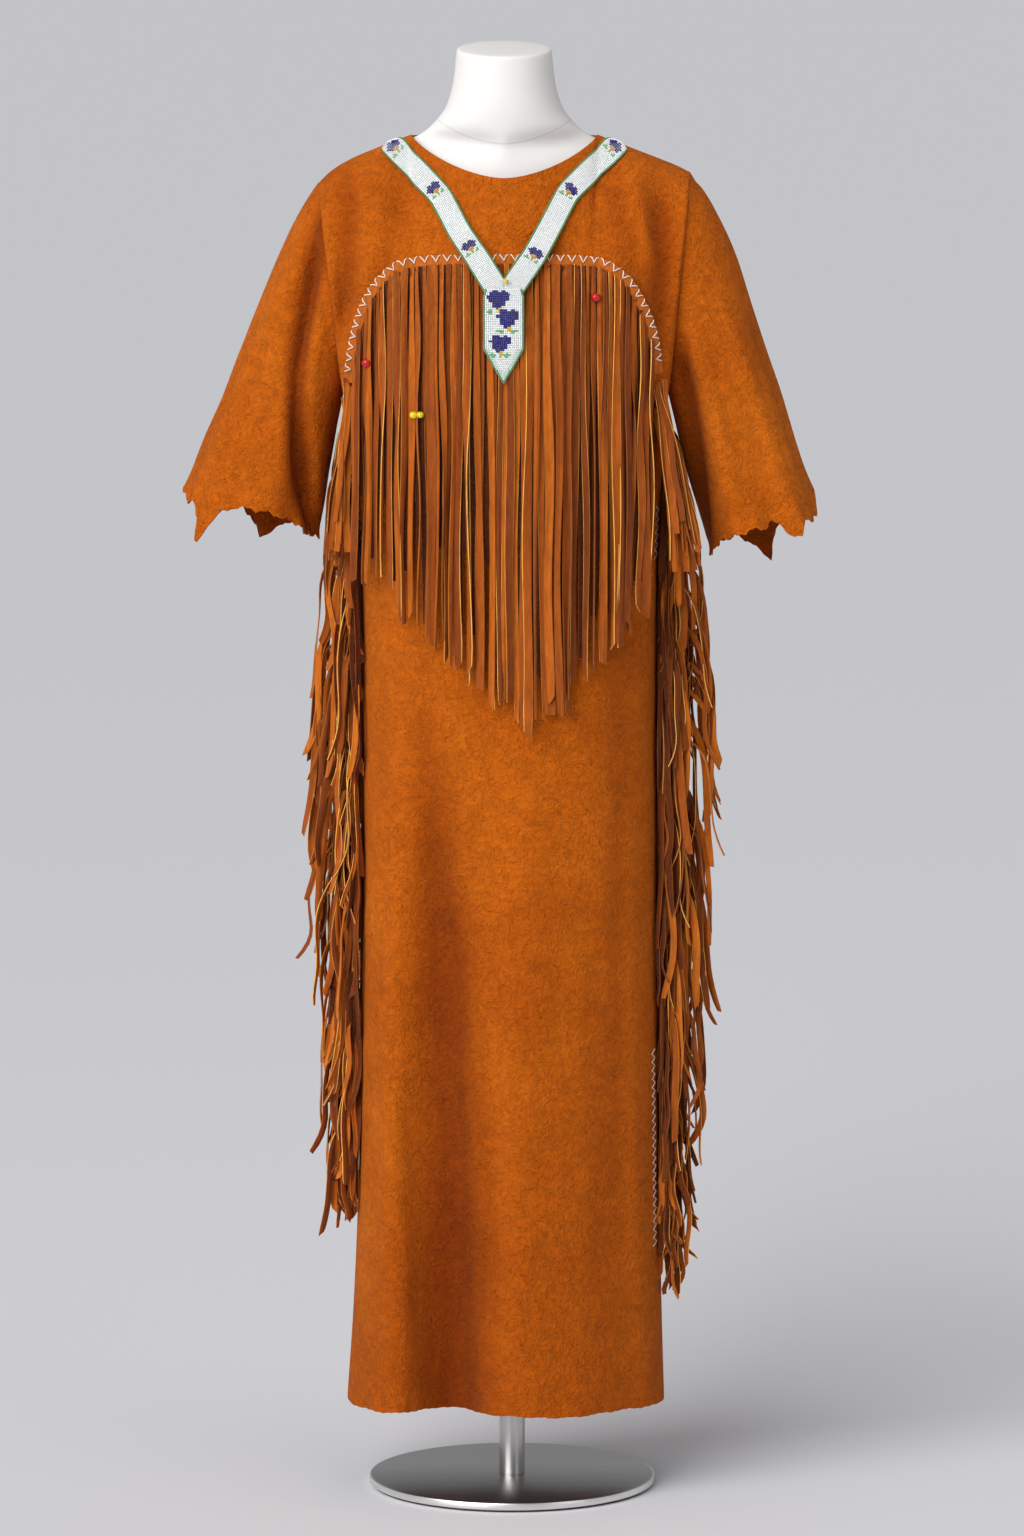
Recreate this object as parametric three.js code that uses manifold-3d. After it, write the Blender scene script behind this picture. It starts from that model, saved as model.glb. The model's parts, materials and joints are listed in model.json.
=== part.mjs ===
// A long leather dress with cape-like sleeves, a fringe across the chest and down both sides, and a
// V-shaped beaded band, worn by a limbless dress form on a round steel stand.
// Millimetres, +Z up, the front towards -Y. The origin is the centre of the base plate's underside.
// Right and left are the wearer's, so right is -X. Tables give distances from the body's centre line.
import * as THREE from "three";
import { mergeVertices } from "three/addons/utils/BufferGeometryUtils.js";
import Module from "manifold-3d";

const wasm = await Module();
wasm.setup();

// Driving sizes
const BODY_CENTRE_X = -8; // the form stands a little off its pole
const HIDE = 2.0; // thickness of the leather wall
const SEAM = 0.4; // clear gap between pieces that are sewn or laid together
const HEM_Z = 95;
const ARMPIT_Z = 1152;
const NECK_POINT = { x: 96, z: 1421 };
const SHOULDER_X = 192;
const ARMHOLE_DEPTH = 62; // half of the armhole from front to back
const SIDE_ROUNDNESS = 2.5; // power of the body's rounded section
const BASE = { radius: 150, thickness: 10, bevel: 1.5 };
const POLE_RADIUS = 13.5;
const FORM_BOTTOM_Z = 780;

// The body's side seams and depths at each of the panels' rows, from the hem to the armpit
const BODY_SECTIONS = [
  { z: 95, right: 165, left: 168, front: 113, back: 108 },
  { z: 200, right: 158, left: 165, front: 113, back: 107 },
  { z: 320, right: 153, left: 163, front: 113, back: 106 },
  { z: 450, right: 150, left: 161.5, front: 113.5, back: 105 },
  { z: 590, right: 148, left: 160, front: 114.5, back: 104 },
  { z: 730, right: 147, left: 159, front: 115.5, back: 103 },
  { z: 860, right: 147, left: 158.5, front: 116.5, back: 102 },
  { z: 980, right: 149, left: 160, front: 118.5, back: 101 },
  { z: 1070, right: 156, left: 164.5, front: 121, back: 100.5 },
  { z: 1152, right: 167, left: 170, front: 124, back: 99 },
];

// Height of the shoulder seam, from the neck point out to the armhole
const SHOULDER_LINE = [
  { x: 96, right: 1421, left: 1421 },
  { x: 132, right: 1407, left: 1407 },
  { x: 158, right: 1396, left: 1397 },
  { x: 178, right: 1384, left: 1389 },
  { x: 192, right: 1371, left: 1382 },
];

// How far the neckline dips and stands out from the neck point, at the front and the back
const NECKLINE = {
  front: { dip: 39.5, depth: 70, side: -1 },
  back: { dip: 16, depth: 62, side: 1 },
};

// Soft hanging folds: a valley's place at its top and at the hem, its depth there and its half width
const BODY_FOLDS = {
  front: [
    { top: 860, x: -98, hemX: -60, depth: 33, width: 36 },
    { top: 900, x: -120, hemX: -122, depth: -8, width: 26 },
    { top: 820, x: 60, hemX: 40, depth: -7, width: 60 },
    { top: 950, x: 124, hemX: 128, depth: 7, width: 24 },
  ],
  back: [
    { top: 950, x: -50, hemX: -62, depth: 20, width: 34 },
    { top: 900, x: 62, hemX: 70, depth: 22, width: 36 },
    { top: 850, x: 5, hemX: 5, depth: -6, width: 40 },
  ],
};

// The sleeve's outer edge at each height
const SLEEVE_OUTER = [
  { z: 1053, right: 331, left: 319 },
  { z: 1104, right: 312, left: 302 },
  { z: 1150, right: 292, left: 288 },
  { z: 1197, right: 274, left: 272 },
  { z: 1249, right: 253, left: 255 },
  { z: 1296, right: 233, left: 239 },
  { z: 1340, right: 212, left: 219 },
  { z: 1366, right: 196, left: 204 },
  { z: 1371, right: 192, left: 199 },
  { z: 1382, right: 192, left: 192 },
];
const SLEEVES = {
  right: { side: -1, armpitX: 167, outerZ: 1053, inner: { x: 193, z: 1002 } },
  left: { side: 1, armpitX: 170, outerZ: 1053, inner: { x: 210, z: 987 } },
};
const CUFF_DEPTH = 64; // half of the cuff from front to back

// The cuffs keep the hide's own ragged edge. Angle 0 is the outer edge, 90 the front, 180 the inner
// edge and 270 the back, and drop is how far the edge hangs past an even cuff.
const CUFF_EDGE = {
  right: [
    { angle: 0, drop: 0 },
    { angle: 24, drop: 10 },
    { angle: 38, drop: 14 },
    { angle: 51, drop: 48 },
    { angle: 63, drop: 6 },
    { angle: 90, drop: -11 },
    { angle: 124, drop: -12 },
    { angle: 150, drop: -2 },
    { angle: 180, drop: 0 },
    { angle: 231, drop: -5 },
    { angle: 257, drop: 27 },
    { angle: 283, drop: 2 },
    { angle: 308, drop: 20 },
    { angle: 334, drop: 4 },
    { angle: 360, drop: 0 },
  ],
  left: [
    { angle: 0, drop: -2 },
    { angle: 13, drop: 26 },
    { angle: 28, drop: 30 },
    { angle: 45, drop: 22 },
    { angle: 64, drop: 29 },
    { angle: 77, drop: 2 },
    { angle: 84, drop: 7 },
    { angle: 92, drop: 0 },
    { angle: 138, drop: -7 },
    { angle: 165, drop: 2 },
    { angle: 195, drop: 0 },
    { angle: 244, drop: 8 },
    { angle: 270, drop: 50 },
    { angle: 295, drop: 10 },
    { angle: 320, drop: 16 },
    { angle: 360, drop: -2 },
  ],
};

// Valleys that run down each sleeve: their angle round it, depth at the cuff and half width in degrees
const SLEEVE_FOLDS = {
  right: [
    { angle: 128, depth: 11, width: 20 },
    { angle: 62, depth: 5, width: 18 },
    { angle: 250, depth: 10, width: 24 },
  ],
  left: [
    { angle: 75, depth: 9, width: 18 },
    { angle: 132, depth: 6, width: 16 },
    { angle: 285, depth: 10, width: 24 },
  ],
};

// The chest fringe: its sewn line, and where its strands end
const ARC_LINE = [
  { x: -159, z: 1172 },
  { x: -154, z: 1212 },
  { x: -145, z: 1246 },
  { x: -128, z: 1276 },
  { x: -104, z: 1294 },
  { x: -60, z: 1299 },
  { x: 0, z: 1300 },
  { x: 60, z: 1299 },
  { x: 96, z: 1296 },
  { x: 122, z: 1281 },
  { x: 141, z: 1252 },
  { x: 153, z: 1217 },
  { x: 157, z: 1182 },
];
const CHEST_FRINGE_ENDS = [
  { x: -160, z: 975 },
  { x: -120, z: 952 },
  { x: -80, z: 925 },
  { x: -46, z: 900 },
  { x: 0, z: 856 },
  { x: 36, z: 832 },
  { x: 80, z: 862 },
  { x: 120, z: 905 },
  { x: 165, z: 960 },
];
const CHEST_STRANDS = 36;
const STRAND = { width: 7.4, rootWidth: 5, thickness: 1.6, layer: 3 };
const UNDER_BAND = 30; // behind the beaded tab the strands hang in one layer

// The side fringes: strand length and outward reach at each root height
const SIDE_STRANDS = [
  { z: 290, length: 72, reach: 30 },
  { z: 400, length: 100, reach: 36 },
  { z: 500, length: 128, reach: 44 },
  { z: 700, length: 150, reach: 55 },
  { z: 900, length: 156, reach: 53 },
  { z: 1000, length: 152, reach: 43 },
  { z: 1060, length: 150, reach: 34 },
  { z: 1120, length: 148, reach: 27 },
];
const SIDE_FRINGES = {
  right: { side: -1, topZ: 1106, lastZ: 386, spread: 1 },
  left: { side: 1, topZ: 1106, lastZ: 296, spread: 1.14 },
};
const SIDE_PITCH = 15; // between roots down the seam
const SIDE_LANES = [
  { y: 0, turn: 0 },
  { y: -11, turn: -28 },
  { y: 11, turn: 28 },
];

// The beaded band: centre line of each strap from the tab up to the shoulder
const BAND = { width: 22, thickness: 2.2, rest: 1.25, lift: 10.8 };
const STRAP_LINES = {
  right: [
    { x: -11.5, z: 1276 },
    { x: -26, z: 1299 },
    { x: -46, z: 1328 },
    { x: -65, z: 1363 },
    { x: -86, z: 1384 },
    { x: -108, z: 1403 },
  ],
  left: [
    { x: 11.5, z: 1276 },
    { x: 29, z: 1301 },
    { x: 46, z: 1331 },
    { x: 65, z: 1366 },
    { x: 86, z: 1386 },
    { x: 108, z: 1403 },
  ],
};
const STRAP_SHOULDER_X = 118;
const TAB = { halfWidth: 21.5, topZ: 1268, pointZ: 1211, tipZ: 1177, standOff: 7.8 };

// The dress form: half width, depth to the front and to the back, and the power of its section
const FORM_SECTIONS = [
  { z: 780, wide: 118, front: 72, back: 74, power: 2.2 },
  { z: 798, wide: 128, front: 80, back: 82, power: 2.2 },
  { z: 860, wide: 134, front: 84, back: 86, power: 2.2 },
  { z: 930, wide: 128, front: 84, back: 80, power: 2.2 },
  { z: 1020, wide: 112, front: 82, back: 74, power: 2.1 },
  { z: 1110, wide: 128, front: 92, back: 78, power: 2.1 },
  { z: 1190, wide: 142, front: 106, back: 82, power: 2.1 },
  { z: 1260, wide: 146, front: 96, back: 80, power: 2.1 },
  { z: 1320, wide: 154, front: 78, back: 68, power: 2.0 },
  { z: 1354, wide: 165, front: 64, back: 54, power: 1.8 },
  { z: 1374, wide: 172, front: 56, back: 46, power: 1.6 },
  { z: 1388, wide: 167, front: 53, back: 43, power: 1.4 },
  { z: 1397, wide: 150, front: 51, back: 43, power: 1.3 },
  { z: 1405.4, wide: 129, front: 49, back: 43, power: 1.2 },
  { z: 1412.6, wide: 108, front: 47, back: 43, power: 1.1 },
  { z: 1419, wide: 91, front: 48, back: 44, power: 1.2 },
  { z: 1427, wide: 79, front: 49.5, back: 46, power: 1.6 },
  { z: 1436, wide: 70, front: 50.5, back: 48, power: 1.9 },
  { z: 1450, wide: 60, front: 51.5, back: 49, power: 2.0 },
  { z: 1474, wide: 53, front: 50.5, back: 49.5, power: 2.0 },
  { z: 1508, wide: 49, front: 48, back: 48, power: 2.0 },
];
const FORM_TOP = { rise: 4.5, inset: 1.5, tilt: 0.11 }; // the neck cap leans forward

// Colours and finishes
const finishes = {
  hide: new THREE.MeshStandardMaterial({ color: 0xa4540f, roughness: 0.9 }),
  strands: new THREE.MeshStandardMaterial({ color: 0x9a4d16, roughness: 0.85 }),
  beads: new THREE.MeshStandardMaterial({ color: 0xe9efe8, roughness: 0.4 }),
  form: new THREE.MeshStandardMaterial({ color: 0xf1efec, roughness: 0.6 }),
  steel: new THREE.MeshStandardMaterial({ color: 0x8d8d8e, roughness: 0.35, metalness: 1 }),
};

// Small tools

const mix = (a, b, share) => a + (b - a) * share;
const sideName = (x) => (x < 0 ? "right" : "left");

// A smooth curve through a table's rows, without overshoot, from one column to another
function smoothTable(rows, from, to) {
  const x = rows.map((row) => row[from]);
  const y = rows.map((row) => row[to]);
  const slope = x.slice(1).map((next, i) => (y[i + 1] - y[i]) / (next - x[i]));
  const tangent = x.map((_, i) => {
    if (i === 0 || i === x.length - 1) return slope[Math.min(i, slope.length - 1)];
    const [before, after] = [slope[i - 1], slope[i]];
    return before * after <= 0 ? 0 : (2 * before * after) / (before + after);
  });
  return (at) => {
    const held = Math.min(Math.max(at, x[0]), x[x.length - 1]);
    let i = 0;
    while (i < x.length - 2 && held > x[i + 1]) i += 1;
    const span = x[i + 1] - x[i];
    const u = (held - x[i]) / span;
    const rise = u * u * (3 - 2 * u);
    const bend = span * (tangent[i] * u * (1 - u) ** 2 - tangent[i + 1] * u * u * (1 - u));
    return mix(y[i], y[i + 1], rise) + bend;
  };
}

function straightTable(rows, from, to) {
  return (at) => {
    const above = rows.findIndex((row) => row[from] >= at);
    const i = above < 0 ? rows.length - 1 : Math.max(1, above);
    const [a, b] = [rows[i - 1], rows[i]];
    return mix(a[to], b[to], (at - a[from]) / (b[from] - a[from]));
  };
}

const smoothStep = (low, high, at) => {
  const u = Math.min(Math.max((at - low) / (high - low), 0), 1);
  return u * u * (3 - 2 * u);
};

// Closed geometry from points and triangles, turned so that its faces point out
function closedGeometry(points, triangles) {
  const flat = new Float32Array(points.flatMap((p) => [p.x, p.y, p.z]));
  const volume = triangles.reduce((sum, [a, b, c]) => {
    return sum + points[a].dot(new THREE.Vector3().crossVectors(points[b], points[c]));
  }, 0);
  const facing = volume < 0 ? triangles.map(([a, b, c]) => [a, c, b]) : triangles;
  return new THREE.BufferGeometry()
    .setAttribute("position", new THREE.BufferAttribute(flat, 3))
    .setIndex(facing.flat());
}

// A stack of closed rings joined into one solid, with a flat fan at each end
function ringStack(rings) {
  const count = rings[0].length;
  const points = rings.flat().map((p) => p.clone());
  const triangles = [];
  for (let j = 0; j < rings.length - 1; j += 1) {
    for (let i = 0; i < count; i += 1) {
      const [a, b] = [j * count + i, j * count + ((i + 1) % count)];
      triangles.push([a, b, b + count], [a, b + count, a + count]);
    }
  }
  const last = (rings.length - 1) * count;
  for (let i = 1; i < count - 1; i += 1) {
    triangles.push([0, i + 1, i], [last, last + i, last + i + 1]);
  }
  return closedGeometry(points, triangles);
}

// A wall between a grid of outer points and the same grid of inner points, round in i when ringed
function wallGeometry(outer, inner, ringed) {
  const rows = outer.length;
  const count = outer[0].length;
  const points = [...outer.flat(), ...inner.flat()].map((p) => p.clone());
  const offset = rows * count;
  const at = (j, i, back) => back * offset + j * count + (i % count);
  const triangles = [];
  const quad = (a, b, c, d) => triangles.push([a, b, c], [a, c, d]);
  const columns = ringed ? count : count - 1;
  for (let j = 0; j < rows - 1; j += 1) {
    for (let i = 0; i < columns; i += 1) {
      quad(at(j, i, 0), at(j, i + 1, 0), at(j + 1, i + 1, 0), at(j + 1, i, 0));
      quad(at(j, i, 1), at(j + 1, i, 1), at(j + 1, i + 1, 1), at(j, i + 1, 1));
    }
  }
  for (let i = 0; i < columns; i += 1) {
    quad(at(0, i, 0), at(0, i, 1), at(0, i + 1, 1), at(0, i + 1, 0));
    quad(at(rows - 1, i, 0), at(rows - 1, i + 1, 0), at(rows - 1, i + 1, 1), at(rows - 1, i, 1));
  }
  for (let j = 0; j < rows - 1 && !ringed; j += 1) {
    quad(at(j, 0, 0), at(j + 1, 0, 0), at(j + 1, 0, 1), at(j, 0, 1));
    quad(at(j, columns, 0), at(j, columns, 1), at(j + 1, columns, 1), at(j + 1, columns, 0));
  }
  return closedGeometry(points, triangles);
}

function toManifold(geometry) {
  const merged = mergeVertices(geometry, 1e-4);
  return new wasm.Manifold(
    new wasm.Mesh({
      numProp: 3,
      vertProperties: merged.attributes.position.array,
      triVerts: new Uint32Array(merged.index.array),
    }),
  );
}

// One geometry made of overlapping ones
function fuse(geometries) {
  const joined = wasm.Manifold.union(geometries.map(toManifold)).getMesh();
  return new THREE.BufferGeometry()
    .setAttribute("position", new THREE.BufferAttribute(joined.vertProperties, 3))
    .setIndex(Array.from(joined.triVerts));
}

// The body of the dress

const bodyTables = {
  right: straightTable(BODY_SECTIONS, "z", "right"),
  left: straightTable(BODY_SECTIONS, "z", "left"),
  front: straightTable(BODY_SECTIONS, "z", "front"),
  back: straightTable(BODY_SECTIONS, "z", "back"),
};
const shoulderTables = {
  right: smoothTable(SHOULDER_LINE, "x", "right"),
  left: smoothTable(SHOULDER_LINE, "x", "left"),
};
const sectionShape = (share) => {
  return (1 - Math.min(Math.abs(share), 1) ** SIDE_ROUNDNESS) ** (1 / SIDE_ROUNDNESS);
};

// Half width of the body on one side: the side seam below the armpit, the armhole above it
function halfWidth(side, z, rise) {
  if (rise <= 0) return bodyTables[side](z);
  return mix(bodyTables[side](ARMPIT_Z), SHOULDER_X, rise);
}

// The top edge of a panel: the shoulder seam, or the neckline between the neck points
function topEdge(face, x) {
  const across = Math.abs(x) / NECK_POINT.x;
  if (across >= 1) return { z: shoulderTables[sideName(x)](Math.abs(x)), depth: 0 };
  const { dip, depth } = NECKLINE[face];
  return {
    z: NECK_POINT.z - dip * (1 - across ** 1.7) ** 0.85,
    depth: depth * Math.sqrt(1 - across * across),
  };
}

function bodyFold(face, x, z) {
  return BODY_FOLDS[face].reduce((sum, fold) => {
    const down = Math.min(Math.max((fold.top - z) / (fold.top - HEM_Z), 0), 1.05);
    const from = (x - mix(fold.x, fold.hemX, down)) / fold.width;
    return sum + fold.depth * down ** 1.4 * Math.exp(-from * from);
  }, 0);
}

// A point on the outside of the dress. turn runs from -90 degrees at the right seam to 90 at the
// left one. level is 0 at the hem, 1 at the armpit and 2 at the shoulder seam or neckline.
function bodyPoint(face, turn, level) {
  const share = Math.sin(turn);
  const side = sideName(share);
  const outward = NECKLINE[face].side;
  if (level <= 1) {
    const z = mix(HEM_Z, ARMPIT_Z, level);
    const x = share * halfWidth(side, z, 0);
    const round = sectionShape(share);
    const depth = bodyTables[face](z) * round - bodyFold(face, x, z) * Math.min(1, round * 1.5);
    return new THREE.Vector3(x, outward * Math.max(depth, 0), z);
  }
  const rise = (1 - Math.cos(Math.PI * (level - 1))) / 2;
  const x = share * halfWidth(side, 0, rise);
  const edge = topEdge(face, share * SHOULDER_X);
  const z = mix(ARMPIT_Z, edge.z, rise);
  const round = sectionShape(share);
  const rolled = (1 - rise ** 2.3) ** (1 / 2.3);
  const sloped = 1 - rise ** 1.8;
  const roll = mix(sloped, rolled, smoothStep(30, 165, Math.abs(x)));
  const middle = edge.depth + (bodyTables[face](ARMPIT_Z) - edge.depth) * roll;
  const armhole = ARMHOLE_DEPTH * 2 * Math.sqrt(rise * (1 - rise)) * Math.abs(share) ** 6;
  return new THREE.Vector3(x, outward * (armhole + (middle - armhole) * round), z);
}

// The same, moved out from the cloth
function offBody(face, turn, level, distance) {
  const step = 0.01;
  const limit = Math.PI / 2;
  const low = [Math.max(turn - step, -limit), Math.max(level - step, 0)];
  const high = [Math.min(turn + step, limit), Math.min(level + step, 2)];
  const across = bodyPoint(face, high[0], level).sub(bodyPoint(face, low[0], level));
  const upward = bodyPoint(face, turn, high[1]).sub(bodyPoint(face, turn, low[1]));
  const normal = across.cross(upward).normalize().multiplyScalar(-NECKLINE[face].side);
  return bodyPoint(face, turn, level).addScaledVector(normal, distance);
}

// The turn and level at which the cloth has a given place, as seen from the front or the back
function bodyPlace(face, x, z) {
  if (z <= ARMPIT_Z) {
    const share = x / halfWidth(sideName(x), z, 0);
    return [Math.asin(Math.min(Math.max(share, -1), 1)), (z - HEM_Z) / (ARMPIT_Z - HEM_Z)];
  }
  let rise = 0.5;
  let share = 0;
  for (let round = 0; round < 12; round += 1) {
    share = Math.min(Math.max(x / halfWidth(sideName(x), 0, rise), -1), 1);
    rise = Math.min((z - ARMPIT_Z) / (topEdge(face, share * SHOULDER_X).z - ARMPIT_Z), 1);
  }
  return [Math.asin(share), 1 + Math.acos(1 - 2 * rise) / Math.PI];
}

// The way from the outside of the armhole's edge to its inside, shared by body and sleeve. Body and
// sleeve hang side by side under the arm, so their edges meet there in a long mitre.
function armholeInward(angle) {
  const mitre = 1 + 4 * (0.5 - 0.5 * Math.cos(angle)) ** 6;
  return new THREE.Vector3(0, Math.sin(angle), -Math.cos(angle)).multiplyScalar(HIDE * mitre);
}

const ARMHOLE_STEPS = 12;

function panelGeometry(face, columns) {
  const outward = NECKLINE[face].side;
  const outer = [];
  const inner = [];
  const levels = BODY_SECTIONS.map(({ z }) => (z - HEM_Z) / (ARMPIT_Z - HEM_Z));
  for (let k = 1; k <= ARMHOLE_STEPS; k += 1) levels.push(1 + k / ARMHOLE_STEPS);
  for (const level of levels) {
    const angle = outward * Math.PI * (level - 2);
    const top = level === 2;
    const outerRow = [];
    const innerRow = [];
    for (let i = 0; i <= columns; i += 1) {
      const turn = -Math.PI / 2 + (Math.PI * i) / columns;
      const side = i === 0 ? -1 : i === columns ? 1 : 0;
      const onShoulder = top && Math.abs(Math.sin(turn)) * SHOULDER_X >= NECK_POINT.x - 0.01;
      const point = bodyPoint(face, turn, level);
      const behind = offBody(face, turn, level, -HIDE);
      if (side !== 0 && level < 1) behind.copy(point).x -= side * HIDE;
      if (onShoulder) behind.copy(point).z -= HIDE;
      if (side !== 0 && level >= 1) behind.copy(point).add(armholeInward(angle));
      for (const p of [point, behind]) {
        if ((side !== 0 && level <= 1) || onShoulder) p.y = (outward * SEAM) / 2;
        if (side !== 0 && level >= 1) p.x -= (side * SEAM) / 2;
      }
      outerRow.push(point);
      innerRow.push(behind);
    }
    outer.push(outerRow);
    inner.push(innerRow);
  }
  return wallGeometry(outer, inner, false);
}

// The sleeves

const sleeveOuter = {
  right: smoothTable(SLEEVE_OUTER, "z", "right"),
  left: smoothTable(SLEEVE_OUTER, "z", "left"),
};

// A point on the sleeve. angle is 0 at the outer edge, 90 degrees at the front; along is 0 at the
// armhole and 1 at an even cuff.
function sleevePoint(name, angle, along) {
  const { side, armpitX, outerZ, inner } = SLEEVES[name];
  const shoulderZ = shoulderTables[name](SHOULDER_X);
  const topZ = mix(shoulderZ, outerZ, along);
  const top = along === 0 ? { x: SHOULDER_X, z: topZ } : { x: sleeveOuter[name](topZ), z: topZ };
  const low = { x: mix(armpitX, inner.x, along), z: mix(ARMPIT_Z, inner.z, along) };
  const degrees = THREE.MathUtils.radToDeg(angle);
  const fold = SLEEVE_FOLDS[name].reduce((sum, row) => {
    const from = (degrees - row.angle) / row.width;
    return sum + row.depth * along * Math.exp(-from * from);
  }, 0);
  const reach = 1 + Math.cos(angle);
  const x = low.x + ((top.x - low.x) * reach) / 2;
  const z = low.z + ((top.z - low.z) * reach) / 2;
  const depth = mix(ARMHOLE_DEPTH, CUFF_DEPTH, along);
  const squeeze = Math.max(0, 1 - fold / depth);
  return new THREE.Vector3(side * x, -depth * Math.sin(angle) * squeeze, z);
}

function sleeveGeometry(name) {
  const { side } = SLEEVES[name];
  const edge = straightTable(CUFF_EDGE[name], "angle", "drop");
  const stations = [0, 0.11, 0.25, 0.4, 0.56, 0.72, 0.87, 1];
  const count = 2 * ARMHOLE_STEPS;
  const step = 0.02;
  const outer = [];
  const inner = [];
  for (const along of stations) {
    const outerRow = [];
    const innerRow = [];
    for (let i = 0; i < count; i += 1) {
      const angle = (Math.PI * i) / ARMHOLE_STEPS;
      const point = sleevePoint(name, angle, along);
      const round = sleevePoint(name, angle + step, along).sub(
        sleevePoint(name, angle - step, along),
      );
      const down = sleevePoint(name, angle, Math.min(along + step, 1)).sub(
        sleevePoint(name, angle, Math.max(along - step, 0)),
      );
      const inward = round.cross(down).normalize().multiplyScalar(side * HIDE);
      if (along === 0) inward.copy(armholeInward(angle));
      if (along === 0) point.x += (side * SEAM) / 2;
      if (along === 1) {
        point.addScaledVector(down.normalize(), edge(THREE.MathUtils.radToDeg(angle)));
      }
      outerRow.push(point);
      innerRow.push(point.clone().add(inward));
    }
    outer.push(outerRow);
    inner.push(innerRow);
  }
  return wallGeometry(outer, inner, true);
}

// Strips laid on the front or back: a band between two edges, from one distance off the cloth to another

function laidStrip(face, stations, thickness) {
  return ringStack(
    stations.map(({ edges, lift }) => {
      const [first, second] = edges.map(([turn, level]) => [
        offBody(face, turn, level, lift),
        offBody(face, turn, level, lift + thickness),
      ]);
      return [first[0], second[0], second[1], first[1]];
    }),
  );
}

// Stations of a strip of one width along a line of x and z
function stripStations(face, line, width, liftAt) {
  return line.map((point, i) => {
    const before = line[Math.max(i - 1, 0)];
    const after = line[Math.min(i + 1, line.length - 1)];
    const along = new THREE.Vector2(after.x - before.x, after.z - before.z).normalize();
    const edges = [-1, 1].map((way) => {
      const x = point.x - (way * along.y * width) / 2;
      const z = point.z + (way * along.x * width) / 2;
      return bodyPlace(face, x, z);
    });
    return { edges, lift: liftAt(point) };
  });
}

// The same line with even steps, as a smooth curve
function evenLine(rows, steps) {
  const curve = new THREE.CatmullRomCurve3(
    rows.map((row) => new THREE.Vector3(row.x, 0, row.z)),
    false,
    "centripetal",
  );
  return curve.getSpacedPoints(steps).map((p) => ({ x: p.x, z: p.z }));
}

// The chest fringe

const ARC_WIDTH = 9;
const arcHeight = smoothTable(ARC_LINE, "x", "z");
const chestEnd = smoothTable(CHEST_FRINGE_ENDS, "x", "z");

// How far the cloth stands forward at a place, nothing beyond the side seams
function frontDepth(x, z) {
  const [turn, level] = bodyPlace("front", x, z);
  return Math.abs(x) >= halfWidth(sideName(x), z, 0) && level <= 1
    ? 0
    : -bodyPoint("front", turn, level).y;
}

// How far out a strand must stand at a height to clear the cloth over its whole width
function standOff(root, across, out, z) {
  const reaches = [-5, 0, 5].map((aside) => {
    const x = root.x + across.x * aside;
    const y = root.y + across.y * aside;
    return (frontDepth(x, z) + y) * -out.y;
  });
  return Math.max(...reaches);
}

// A flat hanging strand from its rings' middles, each with the way of its width
function strandGeometry(rings) {
  return ringStack(
    rings.map(({ middle, across, width, thickness }) => {
      const out = new THREE.Vector3(-across.y, across.x, 0).multiplyScalar(thickness / 2);
      const half = across.clone().multiplyScalar(width / 2);
      return [
        middle.clone().sub(half).sub(out),
        middle.clone().add(half).sub(out),
        middle.clone().add(half).add(out),
        middle.clone().sub(half).add(out),
      ];
    }),
  );
}

function chestStrand(index) {
  const share = (index + 0.5) / CHEST_STRANDS;
  const first = ARC_LINE[0].x + 3;
  const last = ARC_LINE[ARC_LINE.length - 1].x - 3;
  const x = mix(first, last, share);
  const rootZ = arcHeight(x) - ARC_WIDTH / 2 + 2;
  const ragged = 14 * Math.sin(index * 2.4) + 8 * Math.sin(index * 5.1);
  const endZ = chestEnd(x) + ragged;
  const layer = Math.abs(x) < UNDER_BAND || index % 2 === 0 ? 0 : STRAND.layer;
  const [turn, level] = bodyPlace("front", x, rootZ);
  const root = offBody("front", turn, level, 1.5);
  const [low, high] = [-0.1, 0.1].map((step) => bodyPoint("front", turn + step, 1));
  const across = high.sub(low).setZ(0).normalize();
  const out = new THREE.Vector3(across.y, -across.x, 0);
  const rings = [{ middle: root, across, width: STRAND.rootWidth, thickness: 1.2 }];
  const drops = [16, 40, 110, rootZ - endZ];
  drops.forEach((drop, i) => {
    const ahead = drops[Math.min(i + 1, drops.length - 1)];
    let clear = 0.2;
    for (let z = rootZ; z >= rootZ - ahead; z -= 5) {
      clear = Math.max(clear, standOff(root, across, out, z));
    }
    const middle = root.clone().addScaledVector(out, clear + 2.4 + layer).setZ(rootZ - drop);
    rings.push({ middle, across, width: STRAND.width, thickness: STRAND.thickness });
  });
  return strandGeometry(rings);
}

function chestFringeGeometry() {
  const stations = stripStations("front", evenLine(ARC_LINE, 26), ARC_WIDTH, () => 2 * SEAM);
  const strands = Array.from({ length: CHEST_STRANDS }, (_, i) => chestStrand(i));
  return fuse([laidStrip("front", stations, HIDE), ...strands]);
}

// The side fringes

const sideLength = smoothTable(SIDE_STRANDS, "z", "length");
const sideReach = smoothTable(SIDE_STRANDS, "z", "reach");
const SIDE_STRIP = { halfWidth: 15, thickness: 2, gap: 0.5 };

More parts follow.
